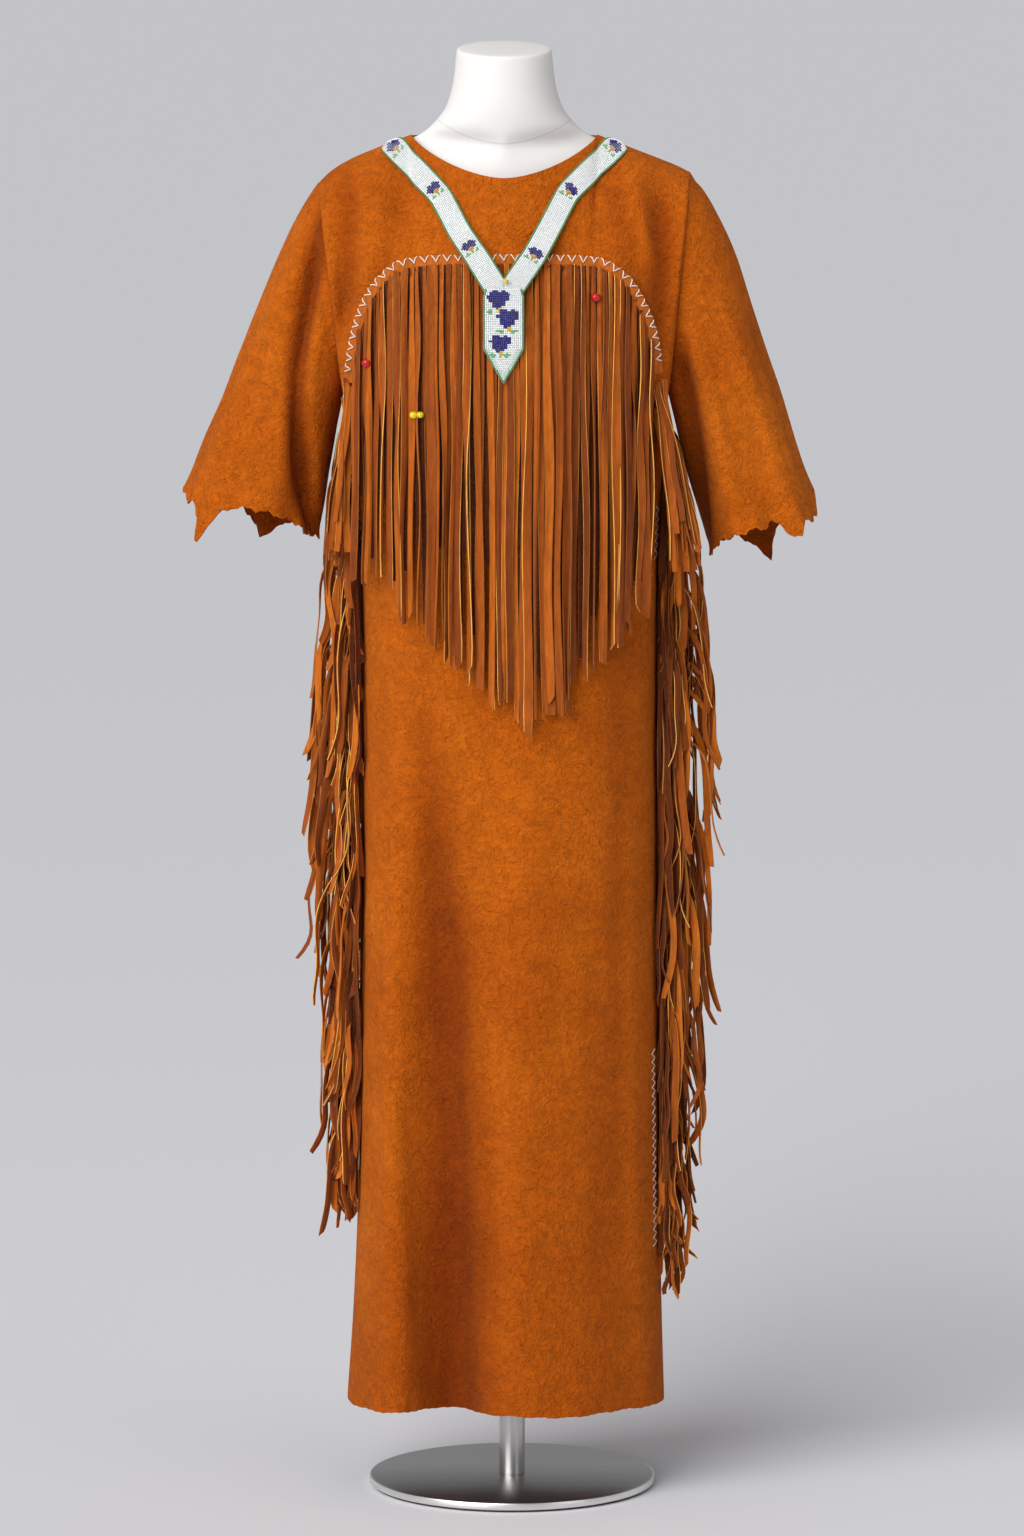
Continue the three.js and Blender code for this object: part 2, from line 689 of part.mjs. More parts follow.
function sideStrand(name, index) {
  const { side, topZ, spread } = SIDE_FRINGES[name];
  const lane = SIDE_LANES[index % SIDE_LANES.length];
  const rootZ = topZ - index * SIDE_PITCH;
  const length = sideLength(rootZ) * (1 + 0.1 * Math.sin(index * 2.7));
  const reach = (sideReach(rootZ) * spread * length) / sideLength(rootZ);
  const turn = THREE.MathUtils.degToRad(lane.turn);
  const out = new THREE.Vector3(side * Math.cos(turn), Math.sin(turn), 0);
  const face = THREE.MathUtils.degToRad(lane.turn * 1.5);
  const across = new THREE.Vector3(-Math.sin(face) * side, Math.cos(face), 0);
  const seam = halfWidth(name, rootZ, 0) + SIDE_STRIP.gap + SIDE_STRIP.thickness / 2;
  const root = new THREE.Vector3(side * seam, lane.y, rootZ);
  const rings = [0, 0.3, 1].map((share) => {
    const middle = root.clone().addScaledVector(out, reach * share ** 0.95);
    middle.z -= length * share;
    const width = share === 0 ? 5 : 8.5;
    return { middle, across, width, thickness: share === 0 ? 1.4 : STRAND.thickness };
  });
  return strandGeometry(rings);
}

function sideFringeGeometry(name) {
  const { side, topZ, lastZ } = SIDE_FRINGES[name];
  const [low, high] = [lastZ - 10, topZ + 8];
  const between = BODY_SECTIONS.map((row) => row.z).filter((z) => z > low && z < high);
  const rings = [low, ...between, high].map((z) => {
    const near = halfWidth(name, z, 0) + SIDE_STRIP.gap;
    const far = near + SIDE_STRIP.thickness;
    const { halfWidth: half } = SIDE_STRIP;
    return [
      new THREE.Vector3(side * near, -half, z),
      new THREE.Vector3(side * near, half, z),
      new THREE.Vector3(side * far, half, z),
      new THREE.Vector3(side * far, -half, z),
    ];
  });
  const count = Math.floor((topZ - lastZ) / SIDE_PITCH) + 1;
  const strands = Array.from({ length: count }, (_, i) => sideStrand(name, i));
  return fuse([ringStack(rings), ...strands]);
}

// The beaded band

const bandLift = ({ z }) => BAND.rest + BAND.lift * (1 - smoothStep(1290, 1345, z));

function strapGeometry(name) {
  const { side } = SLEEVES[name];
  const line = evenLine(STRAP_LINES[name], 12);
  const stations = stripStations("front", line, BAND.width, bandLift);
  const last = line[line.length - 1];
  const lastLevel = stations[stations.length - 1].edges.map((edge) => edge[1]);
  for (const share of [0.25, 0.5, 0.75, 1]) {
    const middleX = mix(last.x, side * STRAP_SHOULDER_X, share);
    const edges = stations[stations.length - 1].edges.map((_, i) => {
      const x = middleX + (i === 0 ? 1 : -1) * (BAND.width / 2);
      return [Math.asin(x / SHOULDER_X), mix(lastLevel[i], 2, share)];
    });
    stations.push({ edges, lift: BAND.rest });
  }
  return laidStrip("front", stations, BAND.thickness);
}

function tabGeometry() {
  const { halfWidth: half, topZ, pointZ, tipZ, standOff: off } = TAB;
  const rows = [
    { z: topZ, half },
    { z: mix(topZ, pointZ, 0.5), half: half + 1 },
    { z: pointZ, half },
    { z: mix(pointZ, tipZ, 0.55), half: half * 0.47 },
    { z: tipZ, half: 0.8 },
  ];
  const depth = -offBody("front", 0, bodyPlace("front", 0, pointZ)[1], 0).y;
  return ringStack(
    rows.map(({ z, half: reach }) => {
      const near = -(Math.max(depth, frontDepth(0, z)) + off);
      return [
        new THREE.Vector3(-reach, near, z),
        new THREE.Vector3(reach, near, z),
        new THREE.Vector3(reach, near - BAND.thickness, z),
        new THREE.Vector3(-reach, near - BAND.thickness, z),
      ];
    }),
  );
}

// The dress form and its stand

function formGeometry() {
  const around = 28;
  const rings = FORM_SECTIONS.map(({ z, wide, front, back, power }) => {
    const lean = FORM_TOP.tilt * Math.max(0, (z - 1450) / (1508 - 1450));
    return Array.from({ length: around }, (_, i) => {
      const angle = (2 * Math.PI * i) / around;
      const [c, s] = [Math.cos(angle), Math.sin(angle)];
      const grow = (Math.abs(c) ** power + Math.abs(s) ** power) ** (-1 / power);
      const y = s * grow * (s < 0 ? front : back);
      return new THREE.Vector3(c * grow * wide, y, z + y * lean);
    });
  });
  const rim = rings[rings.length - 1];
  const centre = new THREE.Vector3(0, 0, FORM_SECTIONS[FORM_SECTIONS.length - 1].z);
  for (const [share, rise] of [[0.97, 1.2], [0.6, 2.6], [0.25, 3]]) {
    rings.push(rim.map((p) => centre.clone().lerp(p, share).setZ(mix(centre.z, p.z, share) + rise)));
  }
  return ringStack(rings);
}

function poleGeometry() {
  const low = BASE.thickness + SEAM - 0.1;
  const high = FORM_BOTTOM_Z - SEAM + 0.1;
  return new THREE.CylinderGeometry(POLE_RADIUS, POLE_RADIUS, high - low, 32)
    .rotateX(Math.PI / 2)
    .translate(0, 0, (low + high) / 2);
}

function baseGeometry() {
  const { radius, thickness, bevel } = BASE;
  const profile = [
    [0, 0],
    [radius - bevel, 0],
    [radius, bevel],
    [radius, thickness - bevel],
    [radius - bevel, thickness],
    [0, thickness],
  ].map(([x, y]) => new THREE.Vector2(x, y));
  return new THREE.LatheGeometry(profile, 40).rotateX(Math.PI / 2);
}

function named(name, geometry, material) {
  for (const attribute of ["normal", "uv"]) geometry.deleteAttribute(attribute);
  const mesh = new THREE.Mesh(mergeVertices(geometry, 1e-4), material);
  mesh.name = name;
  return mesh;
}

const dress = new THREE.Group();
dress.position.x = BODY_CENTRE_X;
dress.add(
  named("front_panel", panelGeometry("front", 24), finishes.hide),
  named("back_panel", panelGeometry("back", 12), finishes.hide),
  named("sleeve_right", sleeveGeometry("right"), finishes.hide),
  named("sleeve_left", sleeveGeometry("left"), finishes.hide),
  named("fringe_chest", chestFringeGeometry(), finishes.strands),
  named("fringe_side_right", sideFringeGeometry("right"), finishes.strands),
  named("fringe_side_left", sideFringeGeometry("left"), finishes.strands),
  named("bead_strap_right", strapGeometry("right"), finishes.beads),
  named("bead_strap_left", strapGeometry("left"), finishes.beads),
  named("bead_tab", tabGeometry(), finishes.beads),
  named("dress_form", formGeometry(), finishes.form),
);

const stand = new THREE.Group();
stand.add(
  named("stand_pole", poleGeometry(), finishes.steel),
  named("stand_base", baseGeometry(), finishes.steel),
);

const whole = new THREE.Group();
whole.add(dress, stand);

export default whole;
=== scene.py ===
# %% [markdown]
# # A fringed leather dress on its form
# A long suede dress hangs on a limbless white form, on a round steel stand. It has wide sleeves with
# raw edges, a fringe across the chest, one down each side, and a V-shaped band of small glass beads.
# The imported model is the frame: it gives the place and size of every piece, in metres, +Z up. This
# lesson replaces its plain solids one after the other with finer pieces and their finishes.

# %% Load the frame
import json
import math
import random
import bmesh
import bpy
import numpy as np
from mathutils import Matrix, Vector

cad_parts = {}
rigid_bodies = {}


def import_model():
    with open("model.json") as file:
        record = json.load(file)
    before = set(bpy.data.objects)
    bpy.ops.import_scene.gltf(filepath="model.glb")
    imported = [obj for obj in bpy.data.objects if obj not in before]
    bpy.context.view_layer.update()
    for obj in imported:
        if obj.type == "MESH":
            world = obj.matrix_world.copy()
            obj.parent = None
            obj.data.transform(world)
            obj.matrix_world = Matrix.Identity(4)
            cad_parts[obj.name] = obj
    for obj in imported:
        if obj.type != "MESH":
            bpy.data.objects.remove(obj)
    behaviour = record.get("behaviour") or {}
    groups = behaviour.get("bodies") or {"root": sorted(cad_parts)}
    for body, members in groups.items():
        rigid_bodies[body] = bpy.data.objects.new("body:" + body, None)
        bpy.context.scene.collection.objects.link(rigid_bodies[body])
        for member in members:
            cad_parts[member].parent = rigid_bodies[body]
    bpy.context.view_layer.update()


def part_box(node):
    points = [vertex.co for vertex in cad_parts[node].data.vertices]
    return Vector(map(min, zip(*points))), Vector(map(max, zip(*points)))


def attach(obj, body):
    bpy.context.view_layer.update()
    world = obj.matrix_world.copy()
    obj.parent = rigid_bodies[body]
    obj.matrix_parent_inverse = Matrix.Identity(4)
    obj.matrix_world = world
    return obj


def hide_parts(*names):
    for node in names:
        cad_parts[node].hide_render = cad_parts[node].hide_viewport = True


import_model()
for thing in bpy.data.objects:
    thing.select_set(False)


def select_only(thing):
    for other in bpy.context.selected_objects:
        other.select_set(False)
    bpy.context.view_layer.objects.active = thing
    thing.select_set(True)


# %% [markdown]
# ## Camera
# The photograph was taken with a long lens from a little above the collar: the round base shows as a
# flat ellipse, and so does the top of the neck, and both give the same tilt. A camera ten metres away
# keeps the dress free of perspective.

# %% Camera
CAMERA_AWAY, CAMERA_HEIGHT = 10, 2.196  # metres
CAMERA_TILT = 8.173  # degrees down
camera_data = bpy.data.cameras.new("studio_camera")
camera_data.lens = 227.1
camera_data.sensor_width = 36
camera_data.clip_end = 60
camera = bpy.data.objects.new("studio_camera", camera_data)
camera.location = (0, -CAMERA_AWAY, CAMERA_HEIGHT)
camera.rotation_euler = (math.radians(90 - CAMERA_TILT), 0, 0)
bpy.context.scene.collection.objects.link(camera)
bpy.context.scene.camera = camera
print("camera at", tuple(camera.location), "lens", camera_data.lens)

# %% [markdown]
# ## Materials in short form
# Every surface here is the same kind of tree: noises on Object coordinates, ramps that turn them into
# colours, products of those colours, and bumps. These helpers keep each material to a few lines. The
# values that don't vary sit on the shader's own sockets.

# %% Material helpers
def node(tree, kind, **settings):
    made = tree.nodes.new(kind)
    for key, value in settings.items():
        if key.startswith("in_"):
            made.inputs[key[3:].replace("_", " ")].default_value = value
        else:
            setattr(made, key, value)
    return made


def new_material(name, **constants):
    material = bpy.data.materials.new(name)
    material.use_nodes = True
    tree = material.node_tree
    shader = tree.nodes["Principled BSDF"]
    for key, value in constants.items():
        shader.inputs[key.replace("_", " ")].default_value = value
    return material, tree, shader


def object_place(tree, stretch=None):
    place = node(tree, "ShaderNodeTexCoord").outputs["Object"]
    if stretch is None:
        return place
    scaled = node(tree, "ShaderNodeMapping", in_Scale=stretch)
    tree.links.new(place, scaled.inputs["Vector"])
    return scaled.outputs["Vector"]


def noise(tree, place, scale, detail, roughness=0.5, distortion=0.0):
    made = node(tree, "ShaderNodeTexNoise", in_Scale=scale, in_Detail=detail, in_Roughness=roughness,
                in_Distortion=distortion)
    tree.links.new(place, made.inputs["Vector"])
    return made.outputs["Fac"]


def ramp(tree, fac, *stops):
    made = tree.nodes.new("ShaderNodeValToRGB")
    band = made.color_ramp
    while len(band.elements) < len(stops):
        band.elements.new(0.5)
    for spot, (place, colour) in zip(band.elements, stops):
        spot.position = place
        spot.color = (*colour, 1)
    tree.links.new(fac, made.inputs["Fac"])
    return made.outputs["Color"]


def blended(tree, kind, fac, a, b):
    made = node(tree, "ShaderNodeMix", data_type="RGBA", blend_type=kind)
    for socket, value in ((made.inputs["Factor"], fac), (made.inputs["A"], a), (made.inputs["B"], b)):
        if hasattr(value, "is_linked"):
            tree.links.new(value, socket)
        else:
            socket.default_value = value
    return made.outputs["Result"]


def raised(tree, height, strength, distance, under=None):
    made = node(tree, "ShaderNodeBump", in_Strength=strength, in_Distance=distance)
    tree.links.new(height, made.inputs["Height"])
    if under is not None:
        tree.links.new(under, made.inputs["Normal"])
    return made.outputs["Normal"]


def surface(tree, shader, colour, normal=None):
    tree.links.new(colour, shader.inputs["Base Color"])
    if normal is not None:
        tree.links.new(normal, shader.inputs["Normal"])


print("material helpers ready")

# %% [markdown]
# ## Light and room
# The studio is a wide pale floor. The camera looks down on it, so that it also fills the background,
# and no wall hides the dress from behind. One broad soft light comes from the upper left, as parallel
# light, which keeps the floor even into the distance. Weak lights fill from the right and from above,
# and the air round the horizon is a little brighter than overhead.

# %% Floor
FLOOR_HALF = 60  # metres


def studio_floor():
    bpy.ops.mesh.primitive_plane_add(size=2)
    floor = bpy.context.object
    floor.name = "studio_floor"
    bpy.ops.object.mode_set(mode="EDIT")
    bpy.ops.mesh.select_all(action="SELECT")
    bpy.ops.transform.resize(value=(FLOOR_HALF, FLOOR_HALF, 1))
    bpy.ops.transform.translate(value=(0, 0, -0.0005))
    bpy.ops.mesh.subdivide(number_cuts=3)
    bpy.ops.object.mode_set(mode="OBJECT")
    floor.select_set(False)
    paper, _, _ = new_material("floor_paper", Base_Color=(0.80, 0.80, 0.83, 1), Roughness=0.9,
                               Specular_IOR_Level=0.1)
    floor.data.materials.append(paper)
    return floor


floor = studio_floor()
print("floor has", len(floor.data.polygons), "faces")


# %% Lights
def soft_light(kind, name, place, aim, power):
    bpy.ops.object.light_add(type=kind, location=place)
    light = bpy.context.object
    light.name = name
    light.data.energy = power
    way = np.array(aim, float) - np.array(place, float)
    flat = math.hypot(way[0], way[1])
    light.rotation_euler = (math.atan2(flat, -way[2]), 0, math.atan2(-way[0], way[1]))
    light.select_set(False)
    return light.data


key = soft_light("SUN", "key_light", (-2.6, -3.5, 3.4), (0, 0, 0.85), 2.75)
key.angle = math.radians(52)
fill = soft_light("AREA", "fill_light", (3.2, -3.2, 1.6), (0, 0, 0.8), 12)
top = soft_light("AREA", "top_light", (-0.2, -0.4, 4.2), (0, 0, 1.2), 14)
for window, size in ((fill, (2.0, 2.4)), (top, (1.6, 1.2))):
    window.shape = "RECTANGLE"
    window.size, window.size_y = size


def studio_air():
    world = bpy.data.worlds.new("studio_air")
    bpy.context.scene.world = world
    world.use_nodes = True
    tree = world.node_tree
    back = tree.nodes["Background"]
    axes = node(tree, "ShaderNodeSeparateXYZ")
    high = node(tree, "ShaderNodeMath", operation="ABSOLUTE")
    tree.links.new(node(tree, "ShaderNodeTexCoord").outputs["Generated"], axes.inputs["Vector"])
    tree.links.new(axes.outputs["Z"], high.inputs[0])
    greys = [(0.0, 0.56), (0.10, 0.50), (0.32, 0.25)]  # height above the horizon and brightness
    glow = ramp(tree, high.outputs["Value"], *[(at, (grey * 0.97, grey * 0.98, grey)) for at, grey in greys])
    tree.links.new(glow, back.inputs["Color"])
    back.inputs["Strength"].default_value = 1.0


studio_air()
bpy.context.scene.view_settings.view_transform = "Standard"
print("lights placed")

# %% [markdown]
# ## The cut of the dress
# The front and the back are each one hide panel from shoulder to hem. Real panels get their form from
# the body they hang on. Cloth simulation would need a long fall to find it and would move the seams,
# so the worn form is written down instead: a rounded section at each height, a shoulder line, a
# neckline and a few hanging folds. The numbers are the ones the solids were made from, in millimetres.

# %% Measured tables
MM = 0.001
CENTRE_X = -8.0  # the body's middle, left of the frame's zero
MIDDLE = np.array([CENTRE_X, 0, 0])
HEM_Z, ARMPIT_Z, NECK_X, NECK_Z, SHOULDER_X = 95.0, 1152.0, 96.0, 1421.0, 192.0
ARMHOLE = 62.0  # half of an armhole's depth, front to back
SECTION_Z = [95, 200, 320, 450, 590, 730, 860, 980, 1070, 1152]
SECTION = {
    "right": [165, 158, 153, 150, 148, 147, 147, 149, 156, 167],
    "left": [168, 165, 163, 161.5, 160, 159, 158.5, 160, 164.5, 170],
    "front": [113, 113, 113, 113.5, 114.5, 115.5, 116.5, 118.5, 121, 124],
    "back": [108, 107, 106, 105, 104, 103, 102, 101, 100.5, 99],
}
SHOULDER_LINE_X = [96, 132, 158, 178, 192]
SHOULDER_LINE = {"right": [1421, 1407, 1396, 1384, 1371], "left": [1421, 1407, 1397, 1389, 1382]}
NECKLINE = {"front": (39.5, 70.0, -1.0), "back": (16.0, 62.0, 1.0)}  # dip, depth at the middle, way it faces
HANGING_FOLDS = {  # top, x at the top, x at the hem, depth at the hem, half width
    "front": [
        (860, -98, -60, 33, 36), (900, -120, -122, -8, 26), (820, 60, 40, -7, 60), (950, 124, 128, 7, 24),
    ],
    "back": [(950, -50, -62, 20, 34), (900, 62, 70, 22, 36), (850, 5, 5, -6, 40)],
}


def smooth_through(xs, ys, at):
    xs, ys, at = np.asarray(xs, float), np.asarray(ys, float), np.asarray(at, float)
    slope = np.diff(ys) / np.diff(xs)
    tangent = np.empty_like(ys)
    tangent[0], tangent[-1] = slope[0], slope[-1]
    product = slope[:-1] * slope[1:]
    both = np.where(np.abs(slope[:-1] + slope[1:]) < 1e-9, 1e-9, slope[:-1] + slope[1:])
    tangent[1:-1] = np.where(product <= 0, 0, 2 * product / both)
    held = np.clip(at, xs[0], xs[-1])
    i = np.clip(np.searchsorted(xs, held, side="right") - 1, 0, len(xs) - 2)
    span = xs[i + 1] - xs[i]
    u = (held - xs[i]) / span
    rise = u * u * (3 - 2 * u)
    bend = span * (tangent[i] * u * (1 - u) ** 2 - tangent[i + 1] * u * u * (1 - u))
    return ys[i] + (ys[i + 1] - ys[i]) * rise + bend


def smooth_step(low, high, at):
    u = np.clip((at - low) / (high - low), 0, 1)
    return u * u * (3 - 2 * u)


def section(column, z):
    return smooth_through(SECTION_Z, SECTION[column], z)


print("panels are", round(NECK_Z - HEM_Z), "mm from neck point to hem")

# %% [markdown]
# ### The outside of the cloth as a function
# Every point of the dress has two numbers: its turn round the body, from the right side seam to the
# left one, and its level, 0 at the hem, 1 at the armpit and 2 at the shoulder seam or the neckline.
# The beads, the stitches and the fringes are set on the cloth by asking this same function.

# %% Points on the dress
def half_width(x_sign, z, rise):
    low = np.where(x_sign < 0, section("right", z), section("left", z))
    arm = np.where(x_sign < 0, SECTION["right"][-1], SECTION["left"][-1])
    return np.where(rise <= 0, low, arm + (SHOULDER_X - arm) * rise)


def top_edge(face, x, rise=1.0):
    dip, depth, _ = NECKLINE[face]
    across = np.clip(np.abs(x) / NECK_X, 0, 1)
    seam = np.where(
        x < 0,
        smooth_through(SHOULDER_LINE_X, SHOULDER_LINE["right"], np.abs(x)),
        smooth_through(SHOULDER_LINE_X, SHOULDER_LINE["left"], np.abs(x)),
    )
    z = np.where(np.abs(x) >= NECK_X, seam, NECK_Z - dip * (1 - across**1.7) ** 0.85)
    return z, depth * np.maximum(1 - across * across, 0) ** (0.5 + 0.5 * (1 - rise))


def hanging_fold(face, x, z):
    total = np.zeros_like(x)
    for top, x_top, x_hem, depth, width in HANGING_FOLDS[face]:
        down = np.clip((top - z) / (top - HEM_Z), 0, 1.05)
        off = (x - (x_top + (x_hem - x_top) * down)) / width
        total = total + depth * down**1.4 * np.exp(-off * off)
    return total


def body_point(face, turn, level):
    turn, level = np.broadcast_arrays(np.asarray(turn, float), np.asarray(level, float))
    share = np.sin(turn)
    way = NECKLINE[face][2]
    full = np.clip(1 - np.clip(np.abs(share), 0, 1) ** 2.5, 0, 1) ** 0.4
    low_z = HEM_Z + (ARMPIT_Z - HEM_Z) * np.clip(level, 0, 1)
    low_x = share * half_width(share, low_z, np.zeros_like(share))
    low_y = section(face, low_z) * full - hanging_fold(face, low_x, low_z) * np.minimum(1, full * 1.5)
    rise = np.clip((1 - np.cos(np.pi * (np.clip(level, 1, 2) - 1))) / 2, 0, 1)
    high_x = share * half_width(share, low_z, np.maximum(rise, 1e-9))
    edge_z, edge_depth = top_edge(face, share * SHOULDER_X, rise)
    high_z = ARMPIT_Z + (edge_z - ARMPIT_Z) * rise
    roll_a, roll_b = 1 - rise**1.8, np.clip(1 - rise**2.3, 0, 1) ** (1 / 2.3)
    roll = roll_a + (roll_b - roll_a) * smooth_step(30, 165, np.abs(high_x))
    middle = edge_depth + (SECTION[face][-1] - edge_depth) * roll
    arm = ARMHOLE * 2 * np.sqrt(np.maximum(rise * (1 - rise), 0)) * np.abs(share) ** 6
    high_y = arm + (middle - arm) * full
    up = level > 1
    return np.stack([np.where(up, high_x, low_x), way * np.where(up, high_y, np.maximum(low_y, 0)),
                     np.where(up, high_z, low_z)], axis=-1)


def body_normal(face, turn, level):
    step, limit = 0.012, math.pi / 2
    turn, level = np.broadcast_arrays(np.asarray(turn, float), np.asarray(level, float))
    left, right = np.maximum(turn - step, -limit), np.minimum(turn + step, limit)
    low, high = np.maximum(level - step, 0), np.minimum(level + step, 2)
    across = body_point(face, right, level) - body_point(face, left, level)
    upward = body_point(face, turn, high) - body_point(face, turn, low)
    normal = np.cross(across, upward) * -NECKLINE[face][2]
    return normal / np.maximum(np.linalg.norm(normal, axis=-1, keepdims=True), 1e-9)


def body_place(face, x, z):
    x, z = np.broadcast_arrays(np.asarray(x, float), np.asarray(z, float))
    share = np.clip(x / half_width(x, z, np.zeros_like(x)), -1, 1)
    high, rise = share.copy(), np.full_like(x, 0.5)
    for _ in range(14):
        high = np.clip(x / half_width(x, z, np.maximum(rise, 1e-9)), -1, 1)
        rise = np.clip((z - ARMPIT_Z) / (top_edge(face, high * SHOULDER_X)[0] - ARMPIT_Z), 0, 1)
    up = z > ARMPIT_Z
    level = np.where(up, 1 + np.arccos(1 - 2 * rise) / np.pi, (z - HEM_Z) / (ARMPIT_Z - HEM_Z))
    return np.arcsin(np.where(up, high, share)), level


def on_front(x, z, lift=0.0):
    turn, level = body_place("front", x, z)
    out = body_normal("front", turn, level) * np.asarray(lift, float)[..., None]
    return body_point("front", turn, level) + out


print("front of the chest stands", round(float(-on_front(0.0, 1200.0)[1])), "mm forward")

# %% [markdown]
# ### Creases, listed one by one
# Suede doesn't hang smooth. Each crease is a short line across the panel with a depth and a width: a
# trough where the depth is positive, a ridge where it is negative. It fades out at both ends and bows
# a little to one side.

# %% Crease tool
LONGEST_BOWED = 130  # mm: a longer crease bows no further
RIPPLE_WAVES = [  # waves across, waves along, size
    (0.021, 0.013, 1.0), (0.034, -0.019, 0.6), (-0.045, 0.027, 0.45), (0.06, 0.052, 0.3),
    (0.013, -0.061, 0.3),
]


def creases(x, z, rows):
    total = np.zeros_like(x)
    for x0, z0, x1, z1, depth, width in rows:
        dx, dz = x1 - x0, z1 - z0
        length = math.hypot(dx, dz)
        along = ((x - x0) * dx + (z - z0) * dz) / length**2
        way = 1 if depth > 0 else -1
        bow = 0.06 * min(length, LONGEST_BOWED) * np.sin(np.pi * np.clip(along, 0, 1)) * way
        aside = ((x - x0) * dz - (z - z0) * dx) / length + bow
        ends = smooth_step(-0.08, 0.3, along) * (1 - smooth_step(0.65, 1.08, along))
        total = total + depth * ends * np.exp(-((aside / width) ** 2))
    return total


def ripples(x, z, amount, seed):
    total = np.zeros_like(x)
    for i, (kx, kz, size) in enumerate(RIPPLE_WAVES):
        across = np.sin(kx * x + kz * z + seed * 1.7 + i * 2.1)
        total = total + size * across * np.cos(0.4 * kz * x - 0.5 * kx * z + i)
    return total * amount


FRONT_CREASES = [  # x0, z0, x1, z1, depth, width
    (-104, 1400, -152, 1200, 3.6, 12), (-160, 1388, -180, 1195, 9.0, 13), (-128, 1400, -164, 1270, -2.4, 11),
    (104, 1402, 150, 1205, 3.2, 12), (155, 1392, 160, 1190, 9.0, 15), (132, 1396, 168, 1270, -2.6, 10),
    (-30, 1380, -70, 1320, 1.2, 12), (40, 1380, 84, 1326, 1.3, 12), (-84, 820, -100, 300, 2.6, 16),
    (-74, 870, -52, -260, 12.0, 28), (-112, 800, -104, 20, -8.0, 20), (22, 860, 30, 40, -7.0, 26),
    (40, 900, 60, 180, -2.0, 24), (118, 1000, 122, 260, 3.4, 18), (-128, 900, -138, 200, 2.8, 12),
    (88, 640, 96, 120, 2.4, 16), (-20, 520, -14, 100, 3.2, 18), (-112, 480, -98, 100, -3.4, 14),
    (136, 760, 146, 140, -2.4, 10), (10, 420, 22, 96, -2.2, 14), (-50, 900, -46, 620, -1.6, 20),
]
BACK_CREASES = [
    (-150, 1388, -172, 1225, 3.4, 11), (150, 1390, 176, 1230, 3.4, 11), (-60, 1180, -96, 780, 3.0, 20),
    (50, 1180, 100, 760, 3.0, 22), (0, 1000, 6, 300, -3.0, 26), (-120, 760, -126, 160, 3.0, 16),
    (118, 800, 130, 180, 3.0, 16), (-30, 560, -34, 110, 2.6, 18), (36, 620, 34, 110, 2.4, 18),
    (-90, 1330, -60, 1200, 1.6, 16), (90, 1330, 60, 1200, 1.6, 16),
]
print(len(FRONT_CREASES) + len(BACK_CREASES), "creases on the body")


# %% From a grid of points to cloth
def linked_mesh(name, points, faces):
    mesh = bpy.data.meshes.new(name)
    mesh.from_pydata(((np.array(points) + MIDDLE) * MM).tolist(), [], faces)
    made = bpy.data.objects.new(name, mesh)
    bpy.context.scene.collection.objects.link(made)
    return made


def store_colours(mesh, name, domain, colours):
    layer = mesh.color_attributes.new(name=name, type="FLOAT_COLOR", domain=domain)
    layer.data.foreach_set("color", np.array(colours, np.float32).ravel())


def face_outward(mesh, fill_holes=False):
    bm = bmesh.new()
    bm.from_mesh(mesh)
    if fill_holes:
        bmesh.ops.holes_fill(bm, edges=[e for e in bm.edges if e.is_boundary], sides=0)
    bmesh.ops.recalc_face_normals(bm, faces=bm.faces)
    bm.to_mesh(mesh)
    bm.free()


def cloth_mesh(name, grid, ringed, fold=None):
    rows, count = grid.shape[:2]
    across = count if ringed else count - 1
    faces, spots = [], []
    for j in range(rows - 1):
        low, high = j / (rows - 1), (j + 1) / (rows - 1)
        for i in range(across):
            n = (i + 1) % count
            left, right = i / across, (i + 1) / across
            faces.append((j * count + i, j * count + n, (j + 1) * count + n, (j + 1) * count + i))
            spots += [(left, low), (right, low), (right, high), (left, high)]
    cloth = linked_mesh(name, grid.reshape(-1, 3), faces)
    uv = cloth.data.uv_layers.new(name="cut")
    uv.data.foreach_set("uv", np.array(spots, np.float32).ravel())
    # the fold depth goes into the "fold" attribute, which paints shade into the suede's folds
    if fold is not None:
        deep = np.clip(fold, 0, 1).ravel()
        store_colours(cloth.data, "fold", "POINT", np.stack([deep, deep, deep, np.ones_like(deep)], axis=1))
    return cloth


print("grids become meshes with the cut as their UV map")


# %% Thickness and facing
def coordinates(mesh):
    flat = np.empty(len(mesh.vertices) * 3, np.float32)
    mesh.vertices.foreach_get("co", flat)
    return flat.reshape(-1, 3)


# painted shade on the inside: the inner copy of the cloth gets the full "fold" value and comes out darker
def paint_shade_inside(mesh, before, thickness):
    shade = mesh.color_attributes.get("fold")
    after = coordinates(mesh)
    if shade is None or len(after) != 2 * len(before):
        return
    inside = np.linalg.norm(after - np.vstack([before, before]), axis=1) > 0.5 * thickness * MM
    values = np.empty(len(after) * 4, np.float32)
    shade.data.foreach_get("color", values)
    values = values.reshape(-1, 4)
    values[inside, :3] = 1
    shade.data.foreach_set("color", values.ravel())
    print(mesh.name, int(inside.sum()), "points on the inside")


def give_thickness(cloth, thickness):
    before = coordinates(cloth.data)
    select_only(cloth)
    wall = cloth.modifiers.new("hide", "SOLIDIFY")
    wall.thickness = thickness * MM
    wall.offset = -1
    wall.use_even_offset = False
    bpy.ops.object.modifier_apply(modifier="hide")
    paint_shade_inside(cloth.data, before, thickness)
    bpy.ops.object.shade_smooth_by_angle(angle=math.radians(50))
    cloth.select_set(False)


def body_axis(point):
    return type(point)((CENTRE_X * MM, 0, point.z))


